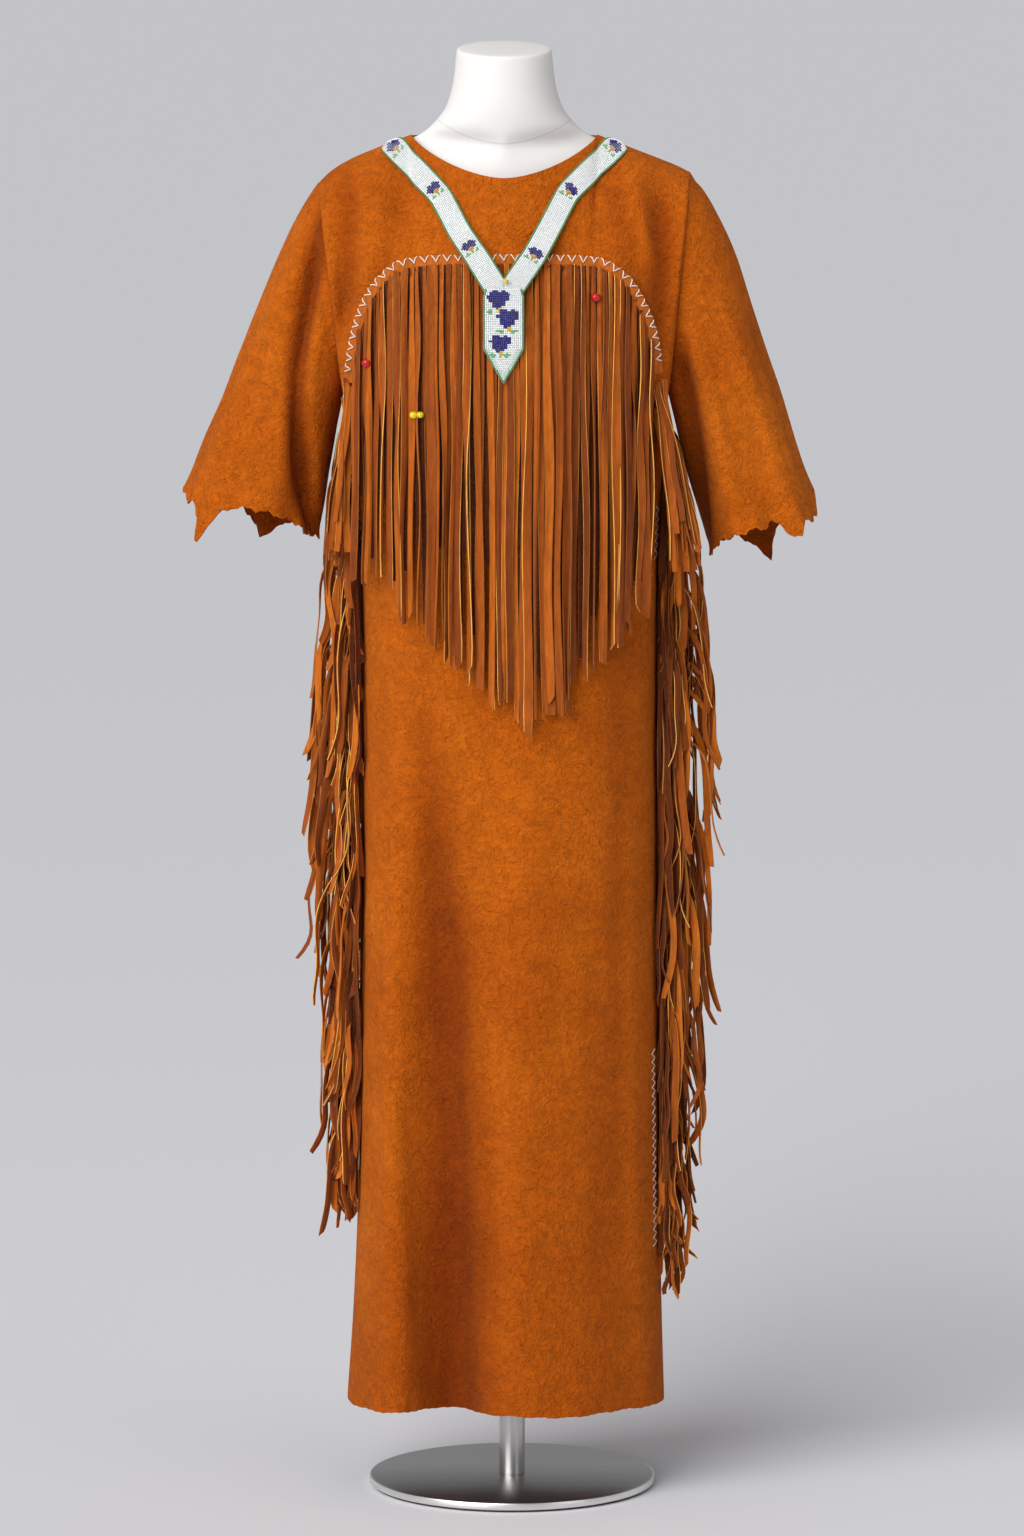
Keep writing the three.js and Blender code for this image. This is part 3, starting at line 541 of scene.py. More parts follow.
def turn_outward(cloth, axis_at):
    mesh = cloth.data
    some = list(mesh.polygons)[:: max(1, len(mesh.polygons) // 400)]
    facing = sum(poly.normal.dot(poly.center - axis_at(poly.center)) * poly.area for poly in some)
    if facing < 0:
        mesh.flip_normals()


print("cloth can be given its thickness")

# %% [markdown]
# ## Suede
# Suede is the flesh side of a hide: matt, with a short nap that catches light at the edges, patches
# of a lighter and a darker tone, and fine wrinkles a few millimetres long. Noises of several sizes
# give tone, patches, wrinkles and nap. They read Object coordinates, so the two panels and the sleeves
# share one hide's pattern across their seams. The cloth's own attribute "fold" says how deep a point
# lies in a fold, and 1 on the inside: there the colour is browner and darker, down to about half, as
# painted shade. The hide is also darker towards the hem, as painted shade.

# %% Suede material
def suede(name, low, mid, high):
    material, tree, shader = new_material(
        name, Roughness=0.92, Specular_IOR_Level=0.1, Sheen_Weight=0.12, Sheen_Roughness=0.4,
        Sheen_Tint=(1.0, 0.5, 0.16, 1))
    place = object_place(tree)
    cloud = noise(tree, place, 5.0, 5.0, 0.62, 0.4)
    patch = noise(tree, place, 38.0, 7.0, 0.72, 0.8)
    crinkle = noise(tree, place, 78.0, 4.0, 0.6, 2.6)
    wrinkle = noise(tree, place, 210.0, 3.0, 0.55, 1.8)
    nap = noise(tree, place, 1000.0, 2.0, 0.6)
    creased = noise(tree, place, 46.0, 4.0, 0.62, 1.2)
    axes = node(tree, "ShaderNodeSeparateXYZ")
    tree.links.new(place, axes.inputs["Vector"])
    deep = node(tree, "ShaderNodeVertexColor", layer_name="fold").outputs["Color"]
    plain = (1, 1, 1)
    line = ramp(tree, creased, (0.445, plain), (0.5, (0, 0, 0)), (0.555, plain))
    hide = ramp(tree, cloud, (0.3, low), (0.52, mid), (0.72, high))
    for amount, shade in (
        (0.4, ramp(tree, patch, (0.3, (0.74, 0.69, 0.62)), (0.52, plain), (0.75, (1.16, 1.16, 1.16)))),
        (0.4, ramp(tree, crinkle, (0.36, (0.88, 0.85, 0.8)), (0.5, plain), (0.68, (1.08, 1.09, 1.1)))),
        (0.6, ramp(tree, nap, (0.3, (0.8, 0.78, 0.74)), (0.7, (1.2, 1.2, 1.2)))),
        # painted shade: the hide gets darker towards the hem
        (1.0, ramp(tree, axes.outputs["Z"], (0.1, (0.80, 0.76, 0.70)), (0.75, plain))),
        (0.1, line),
        # painted shade: browner and darker in deep folds and on the inside, from the "fold" attribute
        (1.0, ramp(tree, deep, (0.0, plain), (0.5, (0.77, 0.69, 0.58)), (1.0, (0.52, 0.41, 0.30)))),
    ):
        hide = blended(tree, "MULTIPLY", amount, hide, shade)
    normal = raised(tree, line, 0.64, 0.0007)
    normal = raised(tree, crinkle, 0.8, 0.0055, normal)
    normal = raised(tree, wrinkle, 0.8, 0.0026, normal)
    normal = raised(tree, nap, 0.48, 0.0004, normal)
    surface(tree, shader, hide, normal)
    return material


SUEDE = suede("suede_hide", (0.51, 0.095, 0.003), (0.61, 0.128, 0.0042), (0.69, 0.16, 0.0076))
print("suede made with", len(SUEDE.node_tree.nodes), "nodes")

# %% [markdown]
# ## Front and back panels
# Each panel is a grid of points on the outside of the cloth. Rows are close together at the shoulder,
# where the cloth bends most. The hem is cut by hand, so it wavers and has small puckers. The wall
# gets its thickness towards the inside, and each point keeps how deep its crease is, for the painted
# shade in the folds.

# %% Panels
HIDE = 1.8  # mm, the thickness of the leather
FOLD_FULL_SHADE_AT = 10.5  # mm: a fold this deep gets the full painted shade
HEM_NICKS = [  # x, depth
    (-148, 1.6), (-121, 1.0), (-97, 1.8), (-66, 1.2), (-31, 0.9), (-8, 1.6), (6, 1.3), (41, 0.8),
    (72, 1.8), (84, 1.2), (104, 1.5), (131, 1.9), (150, 1.2),
]


def panel(name, face, columns, low_rows, high_rows, crease_rows, seed):
    turn = np.linspace(-math.pi / 2, math.pi / 2, columns + 1)
    level = np.concatenate([np.linspace(0, 1, low_rows + 1), 1 + np.linspace(0, 1, high_rows + 1)[1:]])
    turns, levels = np.meshgrid(turn, level)
    points = body_point(face, turns, levels)
    normals = body_normal(face, turns, levels)
    x, z = points[..., 0], points[..., 2]
    calm = np.clip(np.cos(turns) * 3, 0, 1)
    calm = calm * (1 - smooth_step(1.86, 2.0, levels))
    folded = creases(x, z, crease_rows)
    sink = folded + ripples(x, z, 0.55, seed)
    hem = 1 - smooth_step(0, 34, z - HEM_Z)
    sink = sink + hem * (0.5 * np.sin(x * 0.13 + seed) + 0.3 * np.sin(x * 0.31 + 2 * seed))
    for spot, deep in HEM_NICKS:
        tuck = 1 - smooth_step(0, 9 + 5 * deep, z - HEM_Z)
        sink = sink + deep * tuck * np.exp(-(((x - spot) / 3.4) ** 2))
    points = points - normals * (sink * calm)[..., None]
    edge = levels < 0.0001
    rough = 0.9 * np.sin(x * 0.058 + seed) + 0.5 * np.sin(x * 0.21) + 0.35 * np.sin(x * 0.77 + seed)
    points[..., 2] += np.where(edge, rough - 1.0, 0)
    cloth = cloth_mesh(name, points, False, folded / FOLD_FULL_SHADE_AT)
    turn_outward(cloth, body_axis)
    give_thickness(cloth, HIDE)
    cloth.data.materials.append(SUEDE)
    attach(cloth, "root")
    print(name, len(cloth.data.polygons), "faces")
    return cloth


front_panel = panel("front_cloth", "front", 150, 170, 60, FRONT_CREASES, 1.0)
back_panel = panel("back_cloth", "back", 64, 90, 40, BACK_CREASES, 2.3)
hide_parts("front_panel")
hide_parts("back_panel")

# %% [markdown]
# ## Sleeves
# Each sleeve is a short, wide tube that hangs from the armhole and widens down to a raw edge. The
# maker left the hide's own outline there, so it ends in points and notches. A sleeve point has an
# angle round the tube, 0 on the outer edge and 90 degrees in front, and a distance along it.

# %% Sleeve tables
SLEEVE = {
    "right": dict(side=-1, armpit=167, outer_z=1053, inner=(193, 1002)),
    "left": dict(side=1, armpit=170, outer_z=1053, inner=(210, 987)),
}
OUTER_Z = [1053, 1104, 1150, 1197, 1249, 1296, 1340, 1366, 1371, 1382]
OUTER_X = {
    "right": [331, 312, 292, 274, 253, 233, 212, 196, 192, 192],
    "left": [319, 302, 288, 272, 255, 239, 219, 204, 199, 192],
}
CUFF = {  # angle and how far the edge hangs past an even cuff
    "right": [
        (0, 0), (12, 5), (24, 10), (31, 6), (38, 14), (44, 22), (51, 48), (57, 24), (63, 6), (76, -7),
        (90, -11), (107, -13), (124, -12), (138, -8), (150, -2), (165, -3), (180, 0), (205, -6),
        (231, -5), (245, 9), (257, 27), (270, 10), (283, 2), (296, 9), (308, 20), (321, 8), (334, 4),
        (347, 6), (360, 0),
    ],
    "left": [
        (0, -2), (6, 4), (13, 26), (20, 21), (28, 30), (36, 20), (45, 22), (54, 31), (64, 29), (71, 8),
        (77, 2), (84, 7), (92, 0), (115, -5), (138, -7), (152, -1), (165, 2), (180, 3), (195, 0),
        (220, 3), (244, 8), (257, 26), (270, 50), (282, 24), (295, 10), (308, 18), (320, 16), (334, 5),
        (347, 1), (360, -2),
    ],
}
SLEEVE_FOLDS = {  # angle, depth at the cuff in mm, half width in degrees
    "right": [(128, 11, 20), (62, 5, 18), (250, 10, 24)],
    "left": [(75, 9, 18), (132, 6, 16), (285, 10, 24)],
}
SLEEVE_CREASES = {  # angle and distance along, from and to, depth in mm, half width in degrees
    "right": [
        (44, -0.14, 152, 0.9, 17.0, 16), (96, 0.1, 108, 0.9, -3.4, 12), (58, 0.2, 46, 0.9, 1.8, 8),
        (24, 0.3, 20, 1.0, 1.6, 7), (290, 0.1, 300, 0.9, 2.4, 10), (230, 0.1, 222, 0.9, 2.6, 11),
        (78, 0.45, 70, 1.0, 1.4, 6),
    ],
    "left": [
        (122, -0.12, 172, 0.95, 11.0, 20), (100, 0.1, 118, 0.9, -3.4, 11), (90, 0.1, 96, 0.85, 1.6, 7),
        (62, 0.2, 54, 0.95, -1.8, 9), (28, 0.3, 26, 1.0, 1.7, 7), (250, 0.1, 244, 0.9, 2.4, 10),
        (312, 0.1, 316, 0.9, 2.2, 9), (106, 0.5, 112, 1.0, -1.6, 6),
    ],
}
CUFF_DEPTH = 64  # mm, half of a sleeve's front-to-back depth at its lower end
RAGGED_FROM = 0.9  # from this share of its length on, a sleeve stretches into its raw edge


print("cuff points:", {name: len(marks) for name, marks in CUFF.items()})


# %% Points on a sleeve
def sleeve_point(name, angle, along):
    row = SLEEVE[name]
    shoulder_z = SHOULDER_LINE[name][-1]
    top_z = shoulder_z + (row["outer_z"] - shoulder_z) * along
    top_x = np.where(along <= 1e-6, SHOULDER_X, smooth_through(OUTER_Z, OUTER_X[name], top_z))
    low_x = row["armpit"] + (row["inner"][0] - row["armpit"]) * along
    low_z = ARMPIT_Z + (row["inner"][1] - ARMPIT_Z) * along
    degrees = np.degrees(angle) % 360
    fold = np.zeros_like(degrees)
    for at, depth, width in SLEEVE_FOLDS[name]:
        fold = fold + depth * along * np.exp(-(((degrees - at) / width) ** 2))
    reach = (1 + np.cos(angle)) / 2
    x = low_x + (top_x - low_x) * reach
    z = low_z + (top_z - low_z) * reach
    depth = ARMHOLE + (CUFF_DEPTH - ARMHOLE) * along
    return np.stack([row["side"] * x, -depth * np.sin(angle) * np.maximum(0, 1 - fold / depth), z], axis=-1)


def sleeve_folded(name, degrees, along):
    folded = np.zeros_like(degrees)
    for a0, s0, a1, s1, depth, width in SLEEVE_CREASES[name]:
        share = (along - s0) / (s1 - s0)
        off = (degrees - (a0 + (a1 - a0) * share) + 4 * np.sin(3 * share)) / width
        fade = smooth_step(-0.1, 0.2, share) * (1 - smooth_step(0.85, 1.2, share))
        folded = folded + depth * fade * np.exp(-off * off)
    return folded


print("a sleeve is", round(float(-sleeve_point("left", -math.pi / 2, 1.0)[1])), "mm deep behind at the cuff")


# %% Sleeves
def sleeve(name, node_name, seed):
    side = SLEEVE[name]["side"]
    angle = np.linspace(0, 2 * math.pi, 144, endpoint=False)
    along = np.concatenate([np.linspace(0, RAGGED_FROM, 58), np.linspace(RAGGED_FROM, 1, 12)[1:]])
    angles, alongs = np.meshgrid(angle, along)
    points = sleeve_point(name, angles, alongs)
    step = 0.02
    around = sleeve_point(name, angles + step, alongs) - sleeve_point(name, angles - step, alongs)
    below, above = np.minimum(alongs + step, 1), np.maximum(alongs - step, 0)
    down = sleeve_point(name, angles, below) - sleeve_point(name, angles, above)
    normal = np.cross(around, down) * side
    normal = normal / np.linalg.norm(normal, axis=-1, keepdims=True)
    down = down / np.linalg.norm(down, axis=-1, keepdims=True)
    degrees = np.degrees(angles)
    folded = sleeve_folded(name, degrees, alongs)
    sink = folded + ripples(degrees * 1.6, alongs * 240, 0.6, seed)
    points = points - normal * (sink * smooth_step(0, 0.12, alongs))[..., None]
    drop = np.interp(degrees, *zip(*CUFF[name]))
    ragged = 1.6 * np.sin(degrees * 0.35 + seed) + 1.1 * np.sin(degrees * 0.83 + seed)
    share = np.clip((alongs - RAGGED_FROM) / 0.1, 0, 1)
    points = points + down * (share**1.3 * (drop + ragged))[..., None]
    curl = share**2 * (1.8 * np.sin(degrees * 0.11 + seed) + 1.2 * np.sin(degrees * 0.29))
    points = points + normal * curl[..., None]
    points[0, :, 0] += side * 0.15
    cloth = cloth_mesh("cloth_" + node_name, points, True, folded / FOLD_FULL_SHADE_AT)
    centres = (points.mean(axis=1) + MIDDLE) * MM
    turn_outward(cloth, lambda c: type(c)(centres[int(np.argmin(np.abs(centres[:, 2] - c.z)))]))
    give_thickness(cloth, HIDE)
    cloth.data.materials.append(SUEDE)
    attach(cloth, "root")
    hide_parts(node_name)
    print(node_name, len(cloth.data.polygons), "faces")
    return cloth


sleeve_right = sleeve("right", "sleeve_right", 0.7)
sleeve_left = sleeve("left", "sleeve_left", 1.9)

# %% [markdown]
# ## Strands
# A fringe is a strip of hide cut into ribbons. Each ribbon has two faces and two cut edges, and the
# cut edges show the pale middle of the hide, so they draw thin golden lines down the fringe. A strand
# is a ring of eight points swept along its middle line. It turns a little on the way and is slightly
# cupped, as real ones are. Each corner stores what it is: red for a cut edge, green for how light the
# strand is and blue for the rough flesh side of the ones underneath. That side is near black: partly
# the hide's own dark flesh, partly painted shade in the gaps between strands.

# %% Strand material
def strand_material():
    material, tree, shader = new_material(
        "strand_hide", Roughness=0.8, Specular_IOR_Level=0.2, Sheen_Weight=0.05)
    kinds = node(tree, "ShaderNodeVertexColor", layer_name="strand")
    split = node(tree, "ShaderNodeSeparateColor")
    tree.links.new(kinds.outputs["Color"], split.inputs["Color"])
    is_cut, lightness, flesh_and_shade = (split.outputs[name] for name in ("Red", "Green", "Blue"))
    streak = noise(tree, object_place(tree, (1, 1, 0.16)), 260.0, 4.0, 0.65)
    nap = noise(tree, object_place(tree), 1100.0, 2.0)
    tone = ramp(tree, lightness, (0.0, (0.15, 0.028, 0.003)), (0.35, (0.27, 0.056, 0.004)),
                (0.7, (0.45, 0.102, 0.006)), (1.0, (0.62, 0.158, 0.010)))
    streaked = ramp(tree, streak, (0.3, (0.62, 0.58, 0.54)), (0.72, (1.25, 1.22, 1.2)))
    face = blended(tree, "MULTIPLY", 0.8, tone, streaked)
    # the rough flesh side is near black: partly the hide's own dark flesh, partly painted shade in the gaps between
    # strands
    dark_flesh_and_shade = ramp(tree, nap, (0.46, (0.035, 0.006, 0.001)), (0.66, (0.20, 0.040, 0.004)))
    face = blended(tree, "MIX", flesh_and_shade, face, dark_flesh_and_shade)
    cut = ramp(tree, lightness, (0.0, (0.26, 0.060, 0.006)), (0.5, (0.56, 0.17, 0.016)),
               (1.0, (0.92, 0.46, 0.09)))
    worn = ramp(tree, streak, (0.3, (0.6, 0.56, 0.5)), (0.5, (1, 1, 1)), (0.72, (1.2, 1.22, 1.3)))
    cut = blended(tree, "MULTIPLY", 0.8, cut, worn)
    surface(tree, shader, blended(tree, "MIX", is_cut, face, cut), raised(tree, nap, 0.6, 0.0006))
    return material


STRAND_HIDE = strand_material()
print("strand hide made with", len(STRAND_HIDE.node_tree.nodes), "nodes")

# %% Strand sweep
CUT_SIDES = (0, 3, 4, 7)  # of the eight sides of a strand


def strand_ring(cup):
    return [(-1, 0), (-0.88, -0.8), (0, cup - 1), (0.88, -0.8), (1, 0), (0.88, 0.8), (0, cup + 1), (-0.88, 0.8)]


class Strands:
    def __init__(self):
        self.points, self.faces, self.colours = [], [], []

    def add(self, line, twist, width, thickness, tone, frame_angle, edge, cup, slant=0.0, rough=0.0):
        line = np.asarray(line, float)
        n = len(line)
        twist = np.broadcast_to(np.asarray(twist, float), (n,))
        width = np.broadcast_to(np.asarray(width, float), (n,))
        way = np.gradient(line, axis=0)
        way /= np.linalg.norm(way, axis=1, keepdims=True)
        side = np.stack([np.cos(frame_angle + twist), np.sin(frame_angle + twist), np.zeros(n)], axis=1)
        side -= way * np.sum(side * way, axis=1, keepdims=True)
        side /= np.linalg.norm(side, axis=1, keepdims=True)
        out = np.cross(side, way)
        first = len(self.points)
        for k in range(n):
            tilt = way[k] * (slant if k == n - 1 else 0)
            half, thick = side[k] * width[k] / 2, out[k] * thickness / 2
            for a, b in strand_ring(cup):
                self.points.append(line[k] + a * half + b * thick + a * tilt)
        for k in range(n - 1):
            for s in range(8):
                a, b = first + 8 * k + s, first + 8 * k + (s + 1) % 8
                self.faces.append((a, b, b + 8, a + 8))
                self.colours += [(1.0, edge, rough, 1) if s in CUT_SIDES else (0.0, tone, rough, 1)] * 4
        self.faces.append(tuple(first + k for k in range(7, -1, -1)))
        last = first + 8 * (n - 1)
        self.faces.append(tuple(last + k for k in range(8)))
        self.colours += [(1.0, edge, 0, 1)] * 16

    def block(self, outer, inner, tone):
        rows, count = outer.shape[:2]
        first = len(self.points)
        self.points += [*outer.reshape(-1, 3), *inner.reshape(-1, 3)]

        def at(j, i, back):
            return first + back * rows * count + j * count + i

        quads = []
        for j in range(rows - 1):
            for i in range(count - 1):
                quads.append((at(j, i, 0), at(j, i + 1, 0), at(j + 1, i + 1, 0), at(j + 1, i, 0)))
                quads.append((at(j, i, 1), at(j + 1, i, 1), at(j + 1, i + 1, 1), at(j, i + 1, 1)))
        low, far = rows - 1, count - 1
        for i in range(count - 1):
            quads.append((at(0, i, 0), at(0, i, 1), at(0, i + 1, 1), at(0, i + 1, 0)))
            quads.append((at(low, i, 0), at(low, i + 1, 0), at(low, i + 1, 1), at(low, i, 1)))
        for j in range(rows - 1):
            quads.append((at(j, 0, 0), at(j + 1, 0, 0), at(j + 1, 0, 1), at(j, 0, 1)))
            quads.append((at(j, far, 0), at(j, far, 1), at(j + 1, far, 1), at(j + 1, far, 0)))
        self.faces += quads
        self.colours += [(0.0, tone, 0, 1)] * (4 * len(quads))

    def piece(self, name, *nodes):
        fringe = linked_mesh(name, self.points, self.faces)
        store_colours(fringe.data, "strand", "CORNER", self.colours)
        face_outward(fringe.data)
        fringe.data.materials.append(STRAND_HIDE)
        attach(fringe, "root")
        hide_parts(*nodes)
        print(name, len(fringe.data.polygons), "faces")
        return fringe


print("a strand has", len(strand_ring(1)), "sides")

# %% [markdown]
# ## Chest fringe
# One strip is sewn on in an arch from armpit to armpit and cut into strands. They hang from the arch
# over the swell of the chest and then straight down, and end in a ragged point left of the middle.
# Some strands lie flat, some have turned on edge and show only as a thin pale line. Dark ones below
# them close the gaps: near black, partly their own flesh side and partly painted shade.

# %% Lines of the chest fringe
ARC_X = [-159, -154, -145, -128, -104, -60, 0, 60, 96, 122, 141, 153, 157]
ARC_Z = [1172, 1212, 1246, 1276, 1294, 1299, 1300, 1299, 1296, 1281, 1252, 1217, 1182]
FRINGE_END = [  # x, z
    (-160, 985), (-140, 968), (-122, 962), (-112, 928), (-103, 934), (-94, 936), (-84, 902), (-60, 900),
    (-46, 888), (-36, 872), (-24, 860), (-14, 832), (4, 842), (14, 828), (28, 818), (36, 824), (46, 836),
    (62, 836), (72, 860), (88, 878), (104, 892), (120, 906), (134, 918), (149, 936), (162, 985),
]
CHEST_STRANDS, UNDER_STRANDS, CHEST_STEPS = 52, 44, 22


def arc_height(x):
    return float(smooth_through(ARC_X, ARC_Z, x))


def fringe_end(x):
    return float(np.interp(x, *zip(*FRINGE_END)))


def drape_line(x, root_z, end_z, layer, steps):
    drop = np.linspace(0, 1, steps) ** 1.2 * (root_z - end_z)
    z = root_z - drop
    fine = np.linspace(root_z, end_z, 120)
    turn, level = body_place("front", np.full_like(fine, x), fine)
    depth = np.maximum.accumulate(-body_point("front", turn, level)[:, 1])
    reach = np.interp(-z, -fine, depth)
    return np.stack([np.full_like(z, x), -(reach + 2.6 + layer * (1 - np.exp(-drop / 14))), z], axis=1)


def skin_angle(x):
    beside = body_point("front", math.asin(np.clip(x / 170, -0.98, 0.98)) + np.array([-0.08, 0.08]), 1.0)
    return math.atan2(beside[1, 1] - beside[0, 1], beside[1, 0] - beside[0, 0])


print("the fringe hangs from z", arc_height(0.0), "to", fringe_end(28.0), "mm")


# %% Chest fringe
def arc_strip(strands):
    arc = np.array([(x, arc_height(x)) for x in np.linspace(-159, 157, 90)])
    along = np.gradient(arc, axis=0)
    along /= np.linalg.norm(along, axis=1, keepdims=True)
    rows = []
    for offset in np.linspace(-5.0, 4.5, 5):
        x, z = arc[:, 0] - along[:, 1] * offset, arc[:, 1] + along[:, 0] * offset
        turn, level = body_place("front", x, z)
        rows.append((body_point("front", turn, level), body_normal("front", turn, level)))
    outer = np.stack([p + n * 2.8 for p, n in rows])
    inner = np.stack([p + n * 0.8 for p, n in rows])
    strands.block(outer, inner, 0.8)


def chest_strand(strands, rng, i):
    share = np.linspace(0, 1, CHEST_STEPS)
    x = -157.5 + 313.0 * (i + 0.5) / CHEST_STRANDS + rng.uniform(-1.4, 1.4)
    root_z = arc_height(x) - 3.5
    end_z = fringe_end(x) + rng.uniform(-9, 16)
    layer = (0.4, 4.4, 2.2, 5.6)[i % 4] * (0.5 if abs(x) < 26 else 1) + rng.uniform(0, 0.6)
    line = drape_line(x, root_z, end_z, layer, CHEST_STEPS)
    turned = rng.random() < 0.32
    most = rng.choice((-1, 1)) * (rng.uniform(58, 86) if turned else rng.uniform(4, 30))
    first = rng.uniform(0.03, 0.5)
    twist = np.radians(most) * smooth_step(first, first + rng.uniform(0.15, 0.5), share)
    twist = twist + np.radians(rng.uniform(6, 20)) * np.sin(share * rng.uniform(5, 11) + i)
    wander = rng.uniform(-5.0, 5.0) * share**1.3
    wander = wander + rng.uniform(0.6, 2.3) * np.sin(share * rng.uniform(6, 13) + i) * share**0.6
    line[:, 0] += np.clip(wander, -7, 7)
    line[:, 1] -= 1.2 * np.sin(share * 6 + i * 1.3) * share + rng.uniform(0, 3) * share**2
    width = rng.uniform(5.6, 9.8)
    widths = width * (1 + 0.1 * np.sin(share * rng.uniform(8, 16) + i))
    widths = widths * (0.66 + 0.34 * smooth_step(0.0, 0.4, share))
    widths[-1] = width * 0.85
    tone = rng.choice((0.2, 0.35, 0.5, 0.62, 0.8)) + rng.uniform(-0.07, 0.07)
    strands.add(line, twist, widths, 1.5, tone, slant=rng.uniform(-5, 5), frame_angle=skin_angle(x),
                edge=rng.choice((0.1, 0.35, 0.7, 1.0)), cup=rng.choice((-1, 1)) * rng.uniform(0.4, 1.3))


def under_strand(strands, rng, i):
    x = -152 + 303.0 * (i + 0.5) / UNDER_STRANDS + rng.uniform(-1, 1)
    root_z = arc_height(x) - 6
    end_z = root_z + (fringe_end(x) - root_z) * rng.uniform(0.62, 0.97)
    line = drape_line(x, root_z, end_z, -1.0, CHEST_STEPS)
    line[:, 0] += 1.5 * np.sin(np.linspace(0, 6, CHEST_STEPS) + x)
    # the under strands are near black: partly their own dark flesh side, partly painted shade in the gaps
    strands.add(line, np.radians(rng.uniform(-8, 8)), rng.uniform(7, 9.5), 0.9, 0.0,
                frame_angle=skin_angle(x), rough=1.0, edge=0.0, cup=0.3)


def chest_fringe():
    rng = random.Random(11)
    strands = Strands()
    arc_strip(strands)
    for i in range(CHEST_STRANDS):
        chest_strand(strands, rng, i)
    for i in range(UNDER_STRANDS):
        under_strand(strands, rng, i)
    return strands.piece("chest_strands", "fringe_chest")


chest = chest_fringe()

# %% [markdown]
# ## Side fringes
# The side seams carry fringe from under the arm almost to the knee. The strands are narrow and
# crowded, so each pushes the next one out, and then it hangs straight down: the whole lies like
# thatch, the upper ones over the lower. The front ones lie over the edge of the front panel. A few
# more hang from the arch's ends, between the body and the arm.

# %% Side tables
SIDE_Z = [290, 400, 500, 700, 900, 1000, 1060, 1120]
SIDE_LENGTH = [84, 116, 150, 172, 176, 172, 160, 150]
SIDE_REACH = [20, 30, 40, 52, 52, 46, 34, 22]
SIDE = {"right": (-1, 1112, 372, 1.0), "left": (1, 1112, 290, 1.1)}  # side, top z, last z, spread
SLEEVE_INNER = {"right": (167, 26, 150), "left": (170, 40, 165)}  # x at the armpit, how far out, over what drop
LANES = (-30, -24, -17, -10, -3, 5, 12)  # mm behind the side seam, in front where negative
LANE_STEP = 13.0  # mm from one row of strands down to the next
# the dark share of strands lies close to the seam in near-black flesh colour: partly their flesh side, partly
# painted shade inside the fringe
MISSING, DARK = 0.13, 0.34  # shares of the strands
ARM_STRANDS, SIDE_STEPS = 26, 16


def side_surface(side, y, z):
    wide = half_width(np.full_like(z, side), z, np.zeros_like(z))
    share = np.clip(np.abs(y) / np.where(y < 0, section("front", z), section("back", z)), 0, 0.98)
    return wide * (1 - share**2.5) ** 0.4


def side_line(side, y, z, lift):
    y = np.full_like(z, y)
    return np.stack([side * (side_surface(side, y, z) + lift), y, z], axis=1)


def seam_strip(strands, side, top, last):
    z = np.linspace(last - 8, top + 6, 60)
    outer, inner = (np.stack([side_line(side, y, z, lift) for y in np.linspace(-15, 15, 4)]) for lift in (2.6, 0.5))
    strands.block(outer, inner, 0.5)


print(len(LANES), "lanes of strands on each side")


# %% Side strands
def seam_strand(strands, rng, name, lane, start, index):
    side, _, _, spread = SIDE[name]
    arm_x, arm_step, arm_drop = SLEEVE_INNER[name]
    share = np.linspace(0, 1, SIDE_STEPS)
    length = float(np.interp(start, SIDE_Z, SIDE_LENGTH)) * rng.uniform(0.66, 1.08)
    most = float(np.interp(start, SIDE_Z, SIDE_REACH)) * spread
    reach = most * (rng.uniform(0.05, 0.55) if lane < -13 else rng.uniform(0.2, 1.0))
    root_y = max(-18.0, min(14.0, lane * 0.6 + rng.uniform(-3, 3)))
    hang_y = lane * 1.25 + rng.uniform(-7, 7) + 2.4 * np.sin(share * rng.uniform(4, 10) + index * 1.7)
    push = 1 - np.exp(-share * rng.uniform(4.5, 9.0))
    y = root_y + (hang_y - root_y) * push
    z = start - length * share
    wave = rng.uniform(1.0, 3.6) * np.sin(share * rng.uniform(5, 12) + index) * share**0.7
    flick = rng.uniform(-1, 1) * 13 * np.clip(share - 0.7, 0, 1) ** 2 * 11
    skin = side_surface(side, y, z)
    x = skin + 2.8 + rng.uniform(0, 2.5) + np.maximum(reach * push + wave + flick, 0)
    limit = arm_x + arm_step * np.clip((1152 - z) / arm_drop, 0, 1) - 2.5
    x = np.where(z > 995, np.minimum(x, np.maximum(limit, skin + 2.4)), x)
    lean = rng.uniform(-60, 60)
    twist = np.radians(lean) + np.radians(rng.uniform(-80, 80)) * share
    width = rng.uniform(4.8, 8.4)
    widths = width * np.concatenate([[0.6, 0.85], np.ones(SIDE_STEPS - 4), [0.95, 0.7]])
    # a dark strand lies closer in and takes the near-black flesh colour: partly its flesh side, partly painted
    # shade inside the fringe
    dark = rng.random() < DARK
    if dark:
        x = skin + 2.8 + (x - skin - 2.8) * 0.6
    tone = rng.choice((0.1, 0.3, 0.5, 0.75, 0.98)) + rng.uniform(-0.05, 0.05)
    strands.add(np.stack([side * x, y, z], axis=1), twist, widths, 1.3, tone,
                slant=rng.uniform(-4, 4), frame_angle=rng.uniform(0.0, 1.3) * -side,
                edge=0.0 if dark else rng.choice((0.1, 0.3, 0.6, 1.0)),
                cup=rng.choice((-1, 1)) * rng.uniform(0.4, 1.4), rough=0.85 if dark else 0.0)


